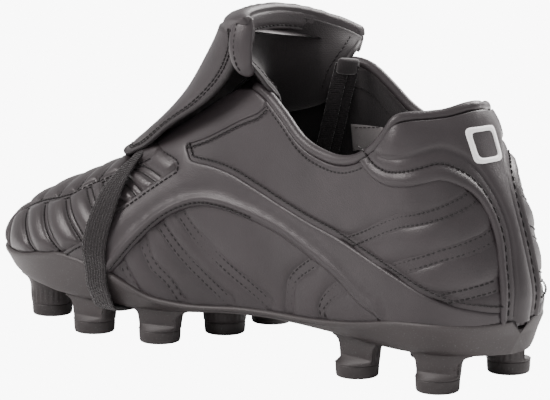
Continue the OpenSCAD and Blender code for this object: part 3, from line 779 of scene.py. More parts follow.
def overlay(side, name, *nodes):
    eyestay = EYESTAY_SEAM[side]
    tail = np.vstack([heel_point(side * 17, 36.6), heel_point(side * 11, 36)])
    seam = np.vstack([side_places(side, eyestay[:-2]), side_places(side, eyestay[-2:]),
                      side_curve(side, SIDE_SEAM, 163, 10), tail])
    arch = side_curve(side, ARCH, 52, 204)
    front = side_curve(side, VAMP_EDGE, 237, 176)
    corner = smooth(side_line(side, [(176.5, 82.5), (178, 84), (185, 86), (198, 88), (207, 88)]))
    start = eyestay[0][0]
    heel_end = [(tail[-1, 0], -0.6)]
    ring = outline(seam, heel_end + [bottom(side, 8, 9)[0]], bottom(side, 8, 51), arch,
                   bottom(side, 205, 238), front, corner, top_edge(side, 207, start))
    border = np.vstack([front, corner])
    seams = [beside(seam, -side * 1.9), beside(border, side * 2.0)]
    arch_seam = beside(arch[len(arch) // 2:], side * 1.1)

    def height(uv, edge):
        d = reach(uv, arch)
        roll = 1.3 * np.exp(-(((d - 2.6) / 1.5) ** 2)) - 0.5 * np.exp(-(((d - 6.2) / 1.4) ** 2))
        soft = swell(np.minimum(edge, nearest(uv, [seam, border])), 0.5, 9)
        return (OVERLAY_RISE + rounded(edge, 0.8) + roll + soft + groove(nearest(uv, seams), 0.4, 0.7)
                + waviness(spot(side_chart, uv)))

    sewn(name, nodes, name + "_stitches", seams + [arch_seam], side_chart, height, ring, "smooth_leather", 2.4,
         seams + [beside(arch, side * 2.6)])


# ---- heel panel
HEEL_BACK = [(20.3, 90.2), (15.7, 86.5), (12.8, 79.5), (11.7, 68.3), (13, 54.4), (13.6, 40), (13, 32.5)]
HEEL_LOW = [(40.2, 89.2), (27.5, 89.5), (15.5, 91.5), (9.2, 92.7)]
HEEL_SIDE = {INNER: [(63, 98.5), (59.5, 97.4), (50.5, 91.7)] + HEEL_LOW,
             OUTER: [(66, 104), (60, 98), (50.5, 92.2)] + HEEL_LOW}
HEEL_RISE = 1.2


def heel_edge(side):
    back = np.array([heel_point(side * x, z) for x, z in HEEL_BACK])
    return smooth(np.vstack([side_line(side, HEEL_SIDE[side]), back]))


def heel_panel():
    inner, outer = heel_edge(INNER), heel_edge(OUTER)
    low = np.array([(inner[-1, 0], -0.8), (outer[-1, 0], -0.8)])
    ring = outline(inner, low, outer[::-1], top_edge(OUTER, 64, 0), top_edge(INNER, 0, 62))
    edges = [inner, outer]
    seams = [beside(inner, 4.4), beside(outer, -4.4)]
    ribs = [beside(inner, 8.4), beside(outer, -8.4)]
    top = [top_edge(OUTER, 64, 0), top_edge(INNER, 0, 62)]

    def height(uv, edge):
        d = nearest(uv, edges)
        brim = np.clip(nearest(uv, top) / 6, 0, 1)
        roll = 0.9 * np.exp(-(((d - 2.0) / 1.3) ** 2))
        pad = swell(np.maximum(d - 8.4, 0), 1.7, 7) * (0.2 + 0.8 * brim * (2 - brim))
        return (HEEL_RISE + rounded(d, 0.9) + roll + pad + groove(d - 4.4, 0.5, 0.7)
                + groove(d - 8.4, 0.6, 0.8) + 0.6 * waviness(spot(side_chart, uv)))

    sewn("heel_panel", ["heel_overlay"], "heel_panel_stitches", seams, side_chart, height, ring,
         "smooth_leather", 2.0, seams + ribs)
    return height


def heel_mark(height):
    """A plain white frame on the tab."""
    a = np.linspace(0, 2 * np.pi, 96, endpoint=False)
    corner = np.stack([np.sign(c) * np.abs(c) ** 0.35 for c in (np.cos(a), np.sin(a))], -1)
    rings = []
    for half, lift_by in ((8.6, -0.3), (8.4, 0.4), (6.2, 0.4), (6.0, -0.3)):
        uv = np.vstack([heel_point(x - 1.5, 105.5 + z) for x, z in corner * half * (1, 0.92)])
        rings.append(lift(side_chart, uv, inner_height(height)(uv) + lift_by))
    faces = [face[::-1] for face in ring_faces(len(rings), len(corner), looped=True)]
    make("heel_mark", np.vstack(rings), faces, "mark")


# ---- vamp
LONG_SEAM = [(286, 46.5), (277, 52.3), (259, 58.4), (240, 63.5), (229, 69.3), (216.5, 74.6), (205, 80),
             (195, 84.5)]
CHANNELS = [[(286, 46.5), (281, 39.5), (277, 32)], [(273, 53), (260, 43.5), (252, 34)],
            [(257, 58.8), (245, 49), (234, 39)], [(241, 63.2), (230, 55), (219, 45.5)],
            [(230, 68.8), (221, 63.5), (211, 56)], [(221, 72.5), (212, 67), (201, 63.5)],
            [(213, 76), (203.6, 73.6), (193, 68.5)], [(204, 80.3), (195.6, 79.5), (184, 76)]]
CROSS = [280, 265, 250, 236, 224, 212]      # where channels cross the middle
CHANNEL_GAP = 2.5


def top_line(side, points):
    p = np.asarray(points, float)
    return to_top(side, p[:, 0], row_at(p[:, 0], p[:, 1]))


def vamp():
    long_seams = [smooth(top_line(side, LONG_SEAM)) for side in (INNER, OUTER)]
    channels = [smooth(top_line(side, c)) for side in (INNER, OUTER) for c in CHANNELS]
    for y in CROSS:
        along = np.interp(y, STATIONS, ALONG_RIDGE)
        ends = [line[np.argmin(np.abs(line[:, 1] - along))] for line in long_seams]
        channels.append(smooth([ends[0], (ends[0] + ends[1]) / 2 + (0, 5), ends[1]]))
    rows = long_seams + channels
    seams = doubled(rows, CHANNEL_GAP)

    def half_ring(side):
        edge = smooth(top_line(side, [(239, 36), (225, 43.5), (213, 50), (206, 59.5), (195, 69), (176, 83)]))
        back = top_line(side, [(173, 88), (184, 92), (198, 94)])
        y = np.linspace(299.6, 241, 60)
        toe = to_top(side, y, np.full(60, -0.6))
        return [toe, beside(edge, side * 4), back]

    right, left = half_ring(OUTER), half_ring(INNER)
    ring = outline(right[0], right[1], right[2], left[2][::-1], left[1][::-1], left[0][::-1])

    def height(uv, edge):
        middle = nearest(uv, rows)
        d = np.maximum(np.minimum(middle, edge - 1.5) - CHANNEL_GAP / 2 - 0.3, 0)
        return (swell(d, 2.4, 6.0) + 0.15 + groove(nearest(uv, seams), 0.45, 0.5) + rounded(edge, 0.6)
                + 0.5 * waviness(spot(top_chart, uv)))

    sewn("vamp_quilted", ["vamp"], "vamp_stitches", [resample(s, 1.5)[1:-1] for s in seams], top_chart, height,
         ring, "vamp_leather", 1.9, seams)


# ---- collar, lining, footbed
def collar_path(inward, drop):
    """Points from the inner throat round the heel to the outer one, with up directions and chart points."""
    y = 138 * (1 - np.cos(np.linspace(0, math.pi / 2, 70)))
    uv = np.vstack([to_side(INNER, y[::-1], top_row(INNER, y[::-1])),
                    to_side(OUTER, y[1:], top_row(OUTER, y[1:]))])
    uv[:, 1] -= drop
    n = normals(side_chart, uv)
    up = side_chart(uv[:, 0], uv[:, 1] + 0.5) - side_chart(uv[:, 0], uv[:, 1] - 0.5)
    return spot(side_chart, uv) - inward * n, up, uv


def collar():
    path, up, uv = collar_path(1.3, -1.6)
    ease = 1 + 0.3 * np.exp(-((uv[:, 0] / 5) ** 4))
    roll = tube("collar_roll", path, 2.3 * ease, 2.5, 16, up, "smooth_leather")
    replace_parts(roll, "collar_binding")
    uv = collar_path(0, 2.0)[2]
    lines = [uv[uv[:, 0] < -72], uv[uv[:, 0] > 76]]
    stitches("collar_stitches", side_chart, lines, lambda p: np.full(len(p), 0.25))


def lining():
    """The textile lining of both sides, from the footbed up to the collar, and over the toes."""
    for side, word in ((INNER, "medial"), (OUTER, "lateral")):
        angle = np.linspace(0, math.pi * 0.985, 150)
        y = LENGTH / 2 * (1 - np.cos(angle))
        q = np.linspace(0, 1, 30)
        high = top_row(side, y)
        high = np.where((y > 198) & (y < THROAT_END), ROWS, high)
        row = q[None, :] * high[:, None]
        uv = np.stack([side * np.broadcast_to(np.interp(y, STATIONS, ALONG_SIDE)[:, None], row.shape),
                       row * np.interp(y, STATIONS, SECTION)[:, None] / ROWS], -1).reshape(-1, 2)
        bulge = 0.5 * np.sin(uv[:, 0] / 13) * np.sin(uv[:, 1] / 17)
        shape = (150, 30, 3)
        face = lift(side_chart, uv, LINING_IN + bulge).reshape(shape)
        back = lift(side_chart, uv, LINING_IN + 1.4).reshape(shape)
        piece = slab("lining_" + word, back, face, "lining", flip=side > 0)
        if side == INNER:
            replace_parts(piece, "lining")
    uv = collar_path(0, 9.0)[2]
    for word, line in (("medial", uv[uv[:, 0] < -20]), ("lateral", uv[uv[:, 0] > 20])):
        stitches("hem_stitches_" + word, side_chart, [line], lambda p: np.full(len(p), LINING_IN - 0.1))


def sole_half(y):
    return half_w(y) * 0.95 + 0.8


def footbed():
    """Cupped sockliner on the floor of the shoe."""
    y = 150 - 141 * np.cos(np.linspace(0.02, math.pi - 0.02, 90))
    f = np.linspace(-1, 1, 31)
    w = (sole_half(y) - 5.6)[:, None]
    x = curve(CENTRE, y)[:, None] + f * w
    lip = 4.5 * np.abs(f) ** 7
    z = curve(FLOOR, y)[:, None] + 7.3 + lip + 0.8 * (1 - f**2) * np.exp(-(((y[:, None] - 110) / 40) ** 2))
    yy = np.broadcast_to(y[:, None], x.shape)
    top, low = np.stack([x, yy, z], -1), np.stack([x, yy, z - 1.0], -1)
    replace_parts(slab("footbed", top, low, "footbed", flip=True), "sockliner_cover")


# ---- tongue, fold and flap
TONGUE = [[153, 128, 17, 24, 15, 4], [150.5, 137.5, 20.5, 23, 11, 1.5], [148, 144, 27, 18, 6, 0]]
TONGUE_RIGHT = [(0, 0, 0), (-1, -6.5, 0), (-5, -8, 3)]   # how far the outer and inner edges curl
TONGUE_LEFT = [(0, 0, 0), (-4, 2, 0), (-2, 4, 0)]
TONGUE_COLUMNS = 41
TONGUE_UNDER = [225, 213.4, 201.3, 188.8, 176, 163]
FLAP = [[160.5, 154, 30, 20, 4, 0], [168, 143.5, 30, 29, 2, 0], [178, 129, 30, 33, 0, 0],
        [187, 116.5, 30, 27, 1, 0], [199, 104, 29, 17, 1, 0], [212, 95.5, 26, 12, 4, 0],
        [226, 87.6, 21, 9, 3.6, 0]]
FOLD = [147.5, 155.5, 29, 15.5, 3, 0]


def row_point(r, a, skew):
    """Point across a row; r holds distance, height, half width, fall back, drop and middle."""
    q = skew * np.maximum(a, 0)
    w, turn = r[2] + 10 * q, 1 - np.cos(np.pi / 2 * a)
    return np.stack([r[5] + w * np.sin(np.pi / 2 * a), r[0] - (r[3] + 8 * q) * turn,
                     r[1] - r[4] * turn - 10 * q * np.maximum(a, 0)], -1)


def row_between(table, i):
    """Values of a table's rows at fractional row numbers."""
    t = np.asarray(table, float)
    return [curve(np.stack([np.arange(len(t)), t[:, k]], -1), i) for k in range(6)]


FLAP_STEPS = np.linspace(0, 6, 121)
FLAP_RUN = run(row_point(row_between(FLAP, FLAP_STEPS), np.zeros(121), np.zeros(121)))
FLAP_LONG = FLAP_RUN[-1]


def flap_half(i):
    r = row_between(FLAP, i)
    a = np.linspace(0, 1, 25)[:, None]
    p = row_point([np.broadcast_to(k, (25, len(i))) for k in r], np.broadcast_to(a, (25, len(i))),
                  np.zeros((25, len(i))))
    return np.linalg.norm(np.diff(p, axis=0), axis=2).sum(0)


FLAP_HALF = flap_half(FLAP_STEPS)


def flap_chart(u, v):
    """u: length across from the middle; v: length down the flap from its top row."""
    i = np.interp(v, FLAP_RUN, FLAP_STEPS)
    a = np.clip(u / np.interp(v, FLAP_RUN, FLAP_HALF), -1.15, 1.15)
    p = row_point(row_between(FLAP, i), a, np.clip(1 - i / 4, 0, 1))
    over = np.stack([0 * v, 0.75 * (v - FLAP_LONG), -0.5 * (v - FLAP_LONG)], -1)
    return p + np.where((v > FLAP_LONG)[:, None], over, 0)


def flap_outline(inset=0.0):
    """The flap's outline with rounded corners, from its top inner corner down, across and up."""
    v = np.linspace(0.5, FLAP_LONG - 14, 22)
    w = np.interp(v, FLAP_RUN, FLAP_HALF) - inset
    w_end = np.interp(FLAP_LONG - 14, FLAP_RUN, FLAP_HALF) - inset
    w_tip = FLAP_HALF[-1] - inset
    tip = FLAP_LONG - inset
    corner = smooth([(w_end, FLAP_LONG - 14), (w_tip + 1.6, FLAP_LONG - 7), (w_tip - 1.5, tip - 1.2),
                     (w_tip - 6, tip + 0.2), (w_tip * 0.4, tip + 0.6), (0, tip + 0.8)], 1.2)
    side = np.vstack([np.stack([w, v], -1)[:-1], corner])
    return np.vstack([side * (-1, 1), side[-2::-1]])


def flap():
    sides = flap_outline()
    ring = outline(sides)
    stitch_lines = [flap_outline(3.6), flap_outline(5.6)]

    def height(uv, edge):
        d = reach(uv, sides)
        pad = swell(np.maximum(d - 6, 0), 1.1, 14)
        return pad + rounded(edge, 0.7) + groove(nearest(uv, stitch_lines), 0.35, 0.6) + 0.6 * waviness(
            spot(flap_chart, uv))

    top = sewn("flap_top", ["flap_leather", "flap_padding"], "flap_stitches", stitch_lines, flap_chart, height,
               ring, "smooth_leather", 2.2, stitch_lines, -1.0, "tongue_flap")
    under = panel("flap_under", ring, lambda u, v: flap_chart(-u, v),
                  lambda uv, edge: 2.2 + rounded(edge, 0.6), "lining", 3.0, (), 1.1, "tongue_flap")
    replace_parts(under, "flap_lining")
    edge = resample(sides, 1.6)
    n = normals(flap_chart, edge)
    path = spot(flap_chart, edge) - 1.1 * n
    wobble = 1 + 0.08 * np.sin(np.arange(len(path)) * 1.9)
    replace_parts(tube("flap_edge", path, 1.35 * wobble, 1.75, 10, n, "edge", "tongue_flap"), "flap_binding")


CORE_R = 1.2                    # hidden foam core, thin enough to clear the flap as it turns
# The fold's section, inside to crest: [out from the roll's middle, up]; its lower edge laps over the lining
FOLD_SECTION = [(-2.6, -8.6), (-3.5, -8.5), (-4.1, -7.9), (-4.0, -7.0), (-3.75, -6.5), (-4.1, -5.9),
                (-4.4, -4.5), (-4.4, -2.8), (-4.2, -1.2), (-3.7, 0.0), (-3.15, 0.6), (-3.5, 1.4), (-3.1, 2.2),
                (-2.3, 3.0), (-1.2, 3.5), (0, 3.7), (1.1, 3.6), (1.9, 3.3)]
FOLD_SEAM_UP = -6.5             # height of the seam along the fold's lower edge


def fold_frame(a):
    """Centre of the fold roll at a, and the level direction away from the shoe's opening."""
    c = row_point(FOLD, a, np.ones_like(a)) + np.clip(a - 0.7, 0, 1)[:, None] * (10, 0, 0)
    t = row_point(FOLD, a + 0.01, np.ones_like(a)) - row_point(FOLD, a - 0.01, np.ones_like(a))
    return c, unit(np.stack([-t[:, 1], t[:, 0], np.zeros(len(a))], -1))


def fold_skin_rows(a):
    """Rows of points over the roll, from inside the shoe over the crest to the flap's top edge."""
    c, out = fold_frame(a)
    close = np.sqrt(1 - np.clip((np.abs(a) - 0.965) / 0.0355, 0, 1) ** 2)[:, None]
    rows = [c + close * (x * out + (0, 0, z)) for x, z in FOLD_SECTION]
    crest = len(rows) - 1
    flap_top = row_point(row_between(FLAP, np.zeros(1)), a, np.ones_like(a))
    n = normals(flap_chart, np.stack([a * FLAP_HALF[0], np.full(len(a), 0.6)], -1))
    end = flap_top - 0.25 * n
    lead = unit((1.1 * out + (0, 0, -0.5)) * close + 0.001 * out)
    tail = flap_chart(a * FLAP_HALF[0], np.full(len(a), 3.0)) - 0.25 * n - end
    gap = np.linalg.norm(end - rows[-1], axis=1, keepdims=True)
    tail *= gap / np.linalg.norm(tail, axis=1, keepdims=True)
    for s in np.linspace(0, 1, 12)[1:]:
        h = (2 * s**3 - 3 * s**2 + 1, s**3 - 2 * s**2 + s, 3 * s**2 - 2 * s**3, s**3 - s**2)
        rows.append(h[0] * rows[crest] + h[1] * gap * lead + h[2] * end + h[3] * tail)
    rows.append(end + tail / gap * 3)
    return np.stack(rows)


CREST_ROW, FLAP_ROW = 15, 28    # rows where the skin leaves the roll, and where it meets the flap
GORES = 8                       # the fold's skin is made in this many gores, each a separate slab


def fold():
    a = np.linspace(-1, 1, 129)
    c, out = fold_frame(a * 0.9)
    roll = tube("fold_core", c, CORE_R, CORE_R, 16, (0, 0, 1), "foam")
    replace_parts(roll, "fold_roll")
    skin_rows = fold_skin_rows(a)
    m = len(a)
    nn = unit(np.cross(np.gradient(skin_rows, axis=1), np.gradient(skin_rows, axis=0)))
    nn *= np.sign((nn[10, m // 2] * (-out[m // 2])).sum())
    ripple = np.sin(np.arange(m) * 0.55 + 2 * np.sin(np.arange(m) * 0.13))
    outer = skin_rows + nn * 0.12 * ripple[None, :, None]
    inner = skin_rows - nn * 0.8
    step = (m - 1) // GORES
    for k in range(GORES):
        lo, hi = k * step, (k + 1) * step + 1
        gore = slab(f"fold_skin_{k}", outer[:, lo:hi], inner[:, lo:hi], "smooth_leather", None, True)
        both = np.vstack([nn[:, lo:hi].reshape(-1, 3), -nn[:, lo:hi].reshape(-1, 3)])
        gore.data.normals_split_custom_set_from_vertices(both.tolist())
        mid = (lo + hi - 1) // 2
        across = outer[CREST_ROW, hi - 1] - outer[CREST_ROW, lo]
        aim = outer[FLAP_ROW, mid] - outer[CREST_ROW, mid]
        across[2] = 0
        aim -= across * (aim @ across) / (across @ across)
        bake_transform(gore)
    lobe = smooth([(-27, 135.5, 155.5), (-29, 135.5, 151), (-30.5, 135.5, 145), (-31, 135, 139),
                   (-30.5, 133.5, 133.5), (-28, 131, 129.5)], 0.8)
    q = np.linspace(0, 1, len(lobe))
    thick = np.sqrt(np.clip(1 - ((q - 0.45) / 0.56) ** 2, 0.01, 1))
    tube("fold_end_medial", lobe, 6.3 * thick, 2.6 * thick, 24, (1, 0.15, 0.1), "smooth_leather")
    row = lobe[3:-3] + (-2.45, 2.0, 0)
    thread_row("fold_end_stitches", row, np.full(row.shape, (-1.0, 0, 0)))
    seam_a = np.linspace(-0.9, 0.9, 300)
    c, out = fold_frame(seam_a)
    line = c - 3.95 * out + (0, 0, FOLD_SEAM_UP)
    thread_row("fold_stitches", line, -out)


def thread_row(name, line, up):
    """Stitches along a line in space."""
    length = run(line)
    parts = []
    for s in np.arange(0, length[-1] - STITCH, PITCH):
        at = s + np.array([0, 0.2, 0.5, 0.8, 1]) * STITCH
        p = np.stack([np.interp(at, length, line[:, k]) for k in range(3)], -1)
        n = up[np.searchsorted(length, at[2])]
        p = p + np.array([-0.35, 0.1, 0.2, 0.1, -0.35])[:, None] * n
        parts.append(tube_mesh(p, THREAD * np.array([0.5, 1, 1, 1, 0.5]), THREAD, 5, n))
    return joined(name, parts, "thread")


def tongue():
    """The tongue under the laces and up to the fold: leather outside, textile inside."""
    a = np.linspace(-1, 1, TONGUE_COLUMNS)
    rows = []
    for y in TONGUE_UNDER:
        r = ROWS - np.abs(a) * 0.4 * ROWS
        uv = to_top(np.where(a < 0, INNER, OUTER), np.full(TONGUE_COLUMNS, y), r)
        rows.append(lift(top_chart, uv, -4.6))
    right, left = np.maximum(a, 0)[:, None] ** 2, np.minimum(a, 0)[:, None] ** 2
    for r, skew, to_right, to_left in zip(TONGUE, (0, 0, 0.5), TONGUE_RIGHT, TONGUE_LEFT):
        rows.append(row_point(r, a, skew) + right * to_right + left * to_left)
    c, out = fold_frame(a)
    rows.append(c - 3.0 * out + (0, 0, -1.5))
    keys = np.stack(rows)
    last = len(keys) - 1
    length = np.arange(last + 1, dtype=float)
    fine = np.linspace(0, last, 84)
    grid = np.stack([[curve(np.stack([length, keys[:, j, k]], -1), fine) for k in range(3)]
                     for j in range(TONGUE_COLUMNS)])
    grid = grid.transpose(2, 0, 1)
    nn = unit(np.cross(np.gradient(grid, axis=1), np.gradient(grid, axis=0)))
    nn *= np.sign(nn[30, 20, 2])
    edge = np.clip((1 - np.abs(a)) * 8, 0, 1) ** 0.5
    fade = (0.5 - 0.5 * np.cos(np.pi * np.clip((last + 0.2 - fine) / 4.5, 0, 1)))[:, None]
    puff = 0.3 * np.sin(fine * 4.0)[:, None] * (1 - a**2) * fade
    outer, middle = grid + nn * 0.2, grid - nn * 0.9
    inner = grid - nn * (1.3 + 3.3 * edge[None, :] * fade + puff)[..., None]
    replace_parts(slab("tongue_outside", outer, middle, "leather"), "tongue_leather")
    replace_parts(slab("tongue_inside", middle - nn * 0.02, inner, "lining"), "tongue_lining", "tongue_padding")
    high = (fine > 6.3) & (fine < last - 0.3)
    for word, j, beside_edge in (("medial", 0, 2), ("lateral", -1, -3)):
        path = (grid[high, j] + inner[high, j]) / 2
        tube("tongue_edge_" + word, path, 1.3, 1.1, 10, nn[high, j], "edge")
        line = resample(inner[high][:, beside_edge], 0.5)
        up = -np.broadcast_to(nn[high][20, j], line.shape)
        thread_row("tongue_stitches_" + word, line + up * 0.15, up)


# ---- laces, band, label
LACE_OUTER = [[19.5, 112, 132], [19.5, 113.5, 127], [19, 115, 121], [18.3, 116.5, 114.5],
              [18, 118, 108], [18, 120, 101], [17.8, 122, 94], [17.5, 124, 87], [17, 125.5, 78],
              [16.5, 126.5, 68], [16, 127, 58]]
LACE_INNER = [[15.5, 114.5, 132], [15.5, 116, 127], [15, 117.5, 121], [14.5, 119, 114.5],
              [14.3, 120.5, 108], [14.2, 122.5, 101], [14, 124.5, 94], [13.5, 126.5, 87],
              [13, 128, 78], [12.5, 129, 68], [12, 129.5, 58]]
LACE_W, LACE_T = 6.5, 1.4


def laces():
    """The two free lace ends inside the shoe, each with its aglet."""
    for word, route in (("outer", LACE_OUTER), ("inner", LACE_INNER)):
        path = resample(smooth(route, 1.5), 2.0)
        s = run(path)
        ribs = 1 + 0.05 * np.cos(s * np.pi)
        up = np.array([1, 0.6, 0.2])
        cord = tube("lace_" + word, path, LACE_W / 2 * ribs, LACE_T / 2, 14, up, "braid")
        end, before = path[-1], path[-4]
        aim = (end - before) / np.linalg.norm(end - before)
        sleeve = [end + aim * t for t in (0, 0.4, 1.2, 11.2, 12, 12.3)]
        aglet = tube("aglet_" + word, sleeve, [2.0, 2.3, 1.7, 1.6, 1.5, 1.0], [1.0, 1.2, 1.6, 1.6, 1.5, 1.0],
                     14, up, "aglet")
        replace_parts(cord, "lace_end_" + word)
        if word == "outer":
            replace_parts(aglet, "aglets")
    keeper = [(17.6, 112.4, 134.5), (17.6, 112.6, 133.5), (17.5, 113.6, 128.5), (17.5, 113.8, 127.5)]
    tube("lace_keeper", keeper, [4.5, 5.4, 5.4, 4.5], [1.6, 2.3, 2.3, 1.6], 16, (0.55, 1, 0.2), "lining")
    parts = []
    for y in (163, 176, 188.8, 201.3):
        gap = ROWS - float(throat_row(y))
        f = np.linspace(-1, 1, 25)
        uv = to_top(np.where(f < 0, INNER, OUTER), np.full(25, y), ROWS - np.abs(f) * 0.93 * gap)
        row = lift(top_chart, uv, -3.5)
        parts.append(tube_mesh(row, LACE_W / 2, LACE_T / 2, 10, (0, 0.55, 0.83)))
    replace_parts(joined("lace_rows_braided", parts, "braid"), "lace_rows")


BAND_W, BAND_T = 13, 1.2
BAND_SIDE = [(203.5, 88), (204.5, 83.5), (205.5, 77), (207.5, 69), (209, 60), (210.5, 51), (211.3, 42),
             (211.5, 34)]


def band_half(side):
    """Middle line of the band down one side, with outward directions, then under the sole."""
    p = np.asarray(BAND_SIDE, float)
    uv = to_side(side, p[:, 0], row_at(p[:, 0], p[:, 1]))
    out = normals(side_chart, uv)
    stand = np.array([1.6, 2.2, 3.4, 4.0, 3.8, 3.4, 3.0, 3.0])
    points = spot(side_chart, uv) + out * stand[:, None]
    c, w = float(curve(CENTRE, 209)), float(sole_half(209))
    under = float(curve(UNDER, 209))
    extra = np.array([[c + side * (w + 2.9), 210.5, 27.5], [c + side * (w + 1.5), 209.5, 21.5],
                      [c + side * (w - 3.2), 209, under - 1.0], [c + side * w * 0.6, 208.5, under - 1.7],
                      [c + side * w * 0.25, 208.5, under - 1.8]])
    tilt = np.array([[side, 0, 0.05], [side, 0, -0.3], [side * 0.5, 0, -0.9], [0, 0, -1.0], [0, 0, -1.0]])
    return np.vstack([points, extra]), np.vstack([out, tilt])


def band():
    """Elastic webbing from under the flap, round the sole and up the other side."""
    (a, na), (b, nb) = band_half(INNER), band_half(OUTER)
    middle = np.vstack([a, b[::-1]])
    out = np.vstack([na, nb[::-1]])
    both = smooth(np.hstack([middle, out * 20]), 1.5)
    middle, out = both[:, :3], both[:, 3:]
    t = unit(np.gradient(middle, axis=0))
    wide = unit(np.cross(unit(out), t))
    out = np.cross(t, wide)
    f = np.linspace(-1, 1, 27)
    narrow = BAND_W / 2 * (1 - 0.55 * np.exp(-(((middle[:, 2] - 90) / 14) ** 2)))
    ribs = 0.16 * np.cos(f * math.pi * 8) - 0.35 * f**8
    sheet = middle[:, None] + wide[:, None] * (narrow[:, None] * f)[..., None]
    top = sheet + out[:, None] * (BAND_T / 2 + ribs)[None, :, None]
    low = sheet - out[:, None] * (BAND_T / 2 - 0.3 * f**8)[None, :, None]
    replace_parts(slab("elastic_webbing", top, low, "webbing", flip=True), "elastic_band")


def label():
    """Plain woven label on the lining, with a selvedge on each long side."""
    corners = [(102, 90), (121, 90), (121, 103), (102, 103), (102, 90)]
    ring = outline(*(side_line(OUTER, pair) for pair in zip(corners, corners[1:])), step=1.2)

    def inward(u, v):
        return side_chart(-u, v)

    flipped = (ring * (-1, 1))[::-1]
    low, high = flipped[:, 1].min(), flipped[:, 1].max()
    span = np.linspace(flipped[:, 0].min() + 1.2, flipped[:, 0].max() - 1.2, 20)
    seams = [np.stack([span, np.full(20, v)], -1) for v in (low + 1.4, high - 1.4)]

    def height(uv, edge):
        return 4.75 + rounded(edge, 0.25) + groove(nearest(uv, seams), 0.15, 0.4)

    sewn("woven_label", ["size_label"], "label_stitches", seams, inward, height, flipped, "label", 1.4, seams,
         4.0, thread=0.18)


# ---- sole plate and studs
HEEL_STUDS = [[-25, 24.5], [26, 25], [-25.5, 70], [26.5, 70]]
FORE_STUDS = [[-32, 186], [3, 177], [36, 177], [-36.5, 225], [37, 223], [-21, 270], [13, 268]]
LIP = 1.9                       # how far the sole's upper lip stands out
TIP_H, STUD_R = 6, 9.6


def sole_section(y):
    """Half outline of the plate at y, from the inside of the rim over the lip and under to the middle."""
    w, top, under = float(sole_half(y)), float(curve(EDGE, y)) - 0.1, float(curve(UNDER, y))
    tall, tuck = top - under, min(7.0, w * 0.32)
    floor = min(float(curve(FLOOR, y)), top - 1)
    lip = min(LIP, w * 0.2)
    points = [(0, floor), (w * 0.5, floor), (max(w - 6, w * 0.55), floor + 0.2),
              (max(w - 4.6, w * 0.6), top - 1.5), (w - 2.0, top + 0.2), (w + lip * 0.4, top + 0.9),
              (w + lip, top - 0.2), (w + lip * 0.85, top - 1.7), (w + 0.5, top - 0.28 * tall),
              (w - 0.2 * tuck, top - 0.55 * tall), (w - 0.5 * tuck, under + 0.16 * tall),
              (w - 0.85 * tuck, under + 0.3), (w - 1.4 * tuck, under), (w * 0.45, under - 0.1), (0, under)]
    return np.array(points)


def sole_plate():
    rings = []
    y = LENGTH / 2 * (1 - np.cos(np.linspace(0.06, math.pi - 0.07, 130)))
    for yy in y:
        half = smooth(sole_section(yy), 1.6)
        half = resample(half, run(half)[-1] / 55)
        both = np.vstack([half, (half * (-1, 1))[-2:0:-1]])
        lean = curve(BACK, both[:, 1].clip(20)) * math.exp(-((yy / 42) ** 2))
        along = (yy - LENGTH / 2) / (LENGTH / 2)
        grow = LIP * np.clip(both[:, 1] - curve(EDGE, yy) + 6, 0, 6) / 6 * np.sign(along) * abs(along) ** 40
        rings.append(np.stack([both[:, 0] + curve(CENTRE, yy), yy + lean + grow, both[:, 1]], -1))
    rings = np.stack(rings)
    n, m = rings.shape[:2]
    verts = rings.reshape(-1, 3)
    verts = np.vstack([verts, [verts[:m].mean(0), verts[-m:].mean(0)]])
    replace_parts(make("sole_plate", verts, ring_faces(n, m) + fans(n, m), "plate"), "outsole")


def side_bound(y, z):
    """How far from the middle the plate's side lies at a height."""
    w, top, under = sole_half(y), curve(EDGE, y), curve(UNDER, y)
    tuck = np.minimum(7.0, w * 0.32)
    q = np.clip((z - under) / (top - under), 0, 1)
    return w - tuck * (1 - q) ** 1.6


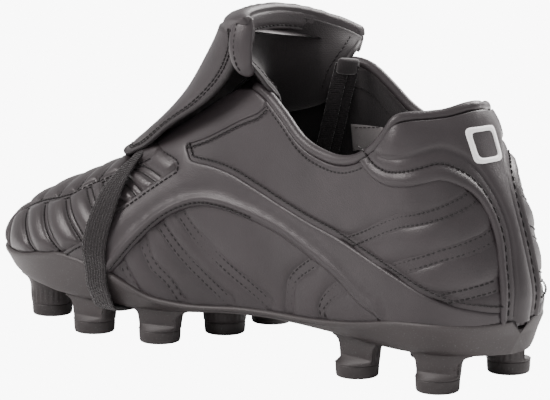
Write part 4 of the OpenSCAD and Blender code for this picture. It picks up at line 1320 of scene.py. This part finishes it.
def stud_mesh(place, profile, ribbed, sides=72):
    a = 2 * np.pi * np.arange(sides) / sides
    rings = []
    for r, z in profile:
        fade = math.exp(-(((z - 10.5) / 3.2) ** 2)) if ribbed else 0
        rr = r + 0.35 * fade * np.cos(a * 24)
        p = np.stack([place[0] + rr * np.cos(a), place[1] + rr * np.sin(a), np.full(sides, float(z))], -1)
        bound = side_bound(p[:, 1], np.maximum(p[:, 2], float(curve(UNDER, place[1])) - 2)) + 0.25
        c = curve(CENTRE, p[:, 1])
        limit = np.where(z > TIP_H + 1, bound, 1e3)
        p[:, 0] = c + np.clip(p[:, 0] - c, -limit, limit)
        rings.append(p)
    verts = np.vstack(rings + [[[place[0], place[1], profile[0][1]]], [[place[0], place[1], profile[-1][1]]]])
    return verts, ring_faces(len(profile), sides) + fans(len(profile), sides)


def stud_profile(under):
    """Flared stud from its seam up into the plate."""
    tall = under - TIP_H
    return ([(STUD_R - 0.3, TIP_H - 0.6), (STUD_R + 0.1, TIP_H - 0.1), (STUD_R + 0.45, TIP_H + 0.35)]
            + [(STUD_R + 0.5 + 5.2 * q**3, TIP_H + 0.5 + (tall - 0.3) * (1 - (1 - q) ** 1.5))
               for q in np.linspace(0.08, 1, 14)] + [(STUD_R + 5.0, under + 1.2)])


TIP_PROFILE = [(STUD_R - 1.5, 0.0), (STUD_R - 0.9, 0.05), (STUD_R - 0.35, 0.35), (STUD_R - 0.05, 0.95),
               (STUD_R + 0.1, 2.4), (STUD_R + 0.25, TIP_H - 0.6), (STUD_R + 0.1, TIP_H - 0.1)]


def studs():
    for word, places in (("heel", HEEL_STUDS), ("forefoot", FORE_STUDS)):
        bodies = [stud_mesh(p, stud_profile(float(curve(UNDER, p[1]))), True) for p in places]
        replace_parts(joined(word + "_studs", bodies, "plate"), word + "_stud_bodies")
        tips = [stud_mesh(p, TIP_PROFILE, False) for p in places]
        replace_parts(joined(word + "_tips", tips, "tip"), word + "_stud_tips")


# ---- hidden pieces keep their CAD shape
HIDDEN = {"shank": "steel", "insole_board": "board", "sockliner_foam": "foam", "vamp_padding": "foam",
          "toe_puff": "stiffener", "heel_counter": "stiffener", "collar_padding": "foam"}


def finish_hidden():
    for node, material in HIDDEN.items():
        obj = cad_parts[node]
        obj.data.materials.clear()
        obj.data.materials.append(MATERIALS[material])


laces()
quarter(INNER, "quarter_medial")
quarter(OUTER, "quarter_lateral")
overlay(INNER, "overlay_medial", "side_overlay_medial", "eyestay_medial")
overlay(OUTER, "overlay_lateral", "side_overlay_lateral", "eyestay_lateral")
heel_mark(heel_panel())
vamp()
collar()
lining()
footbed()
tongue()
fold()
flap()
band()
label()
sole_plate()
studs()
finish_hidden()

bpy.context.view_layer.update()
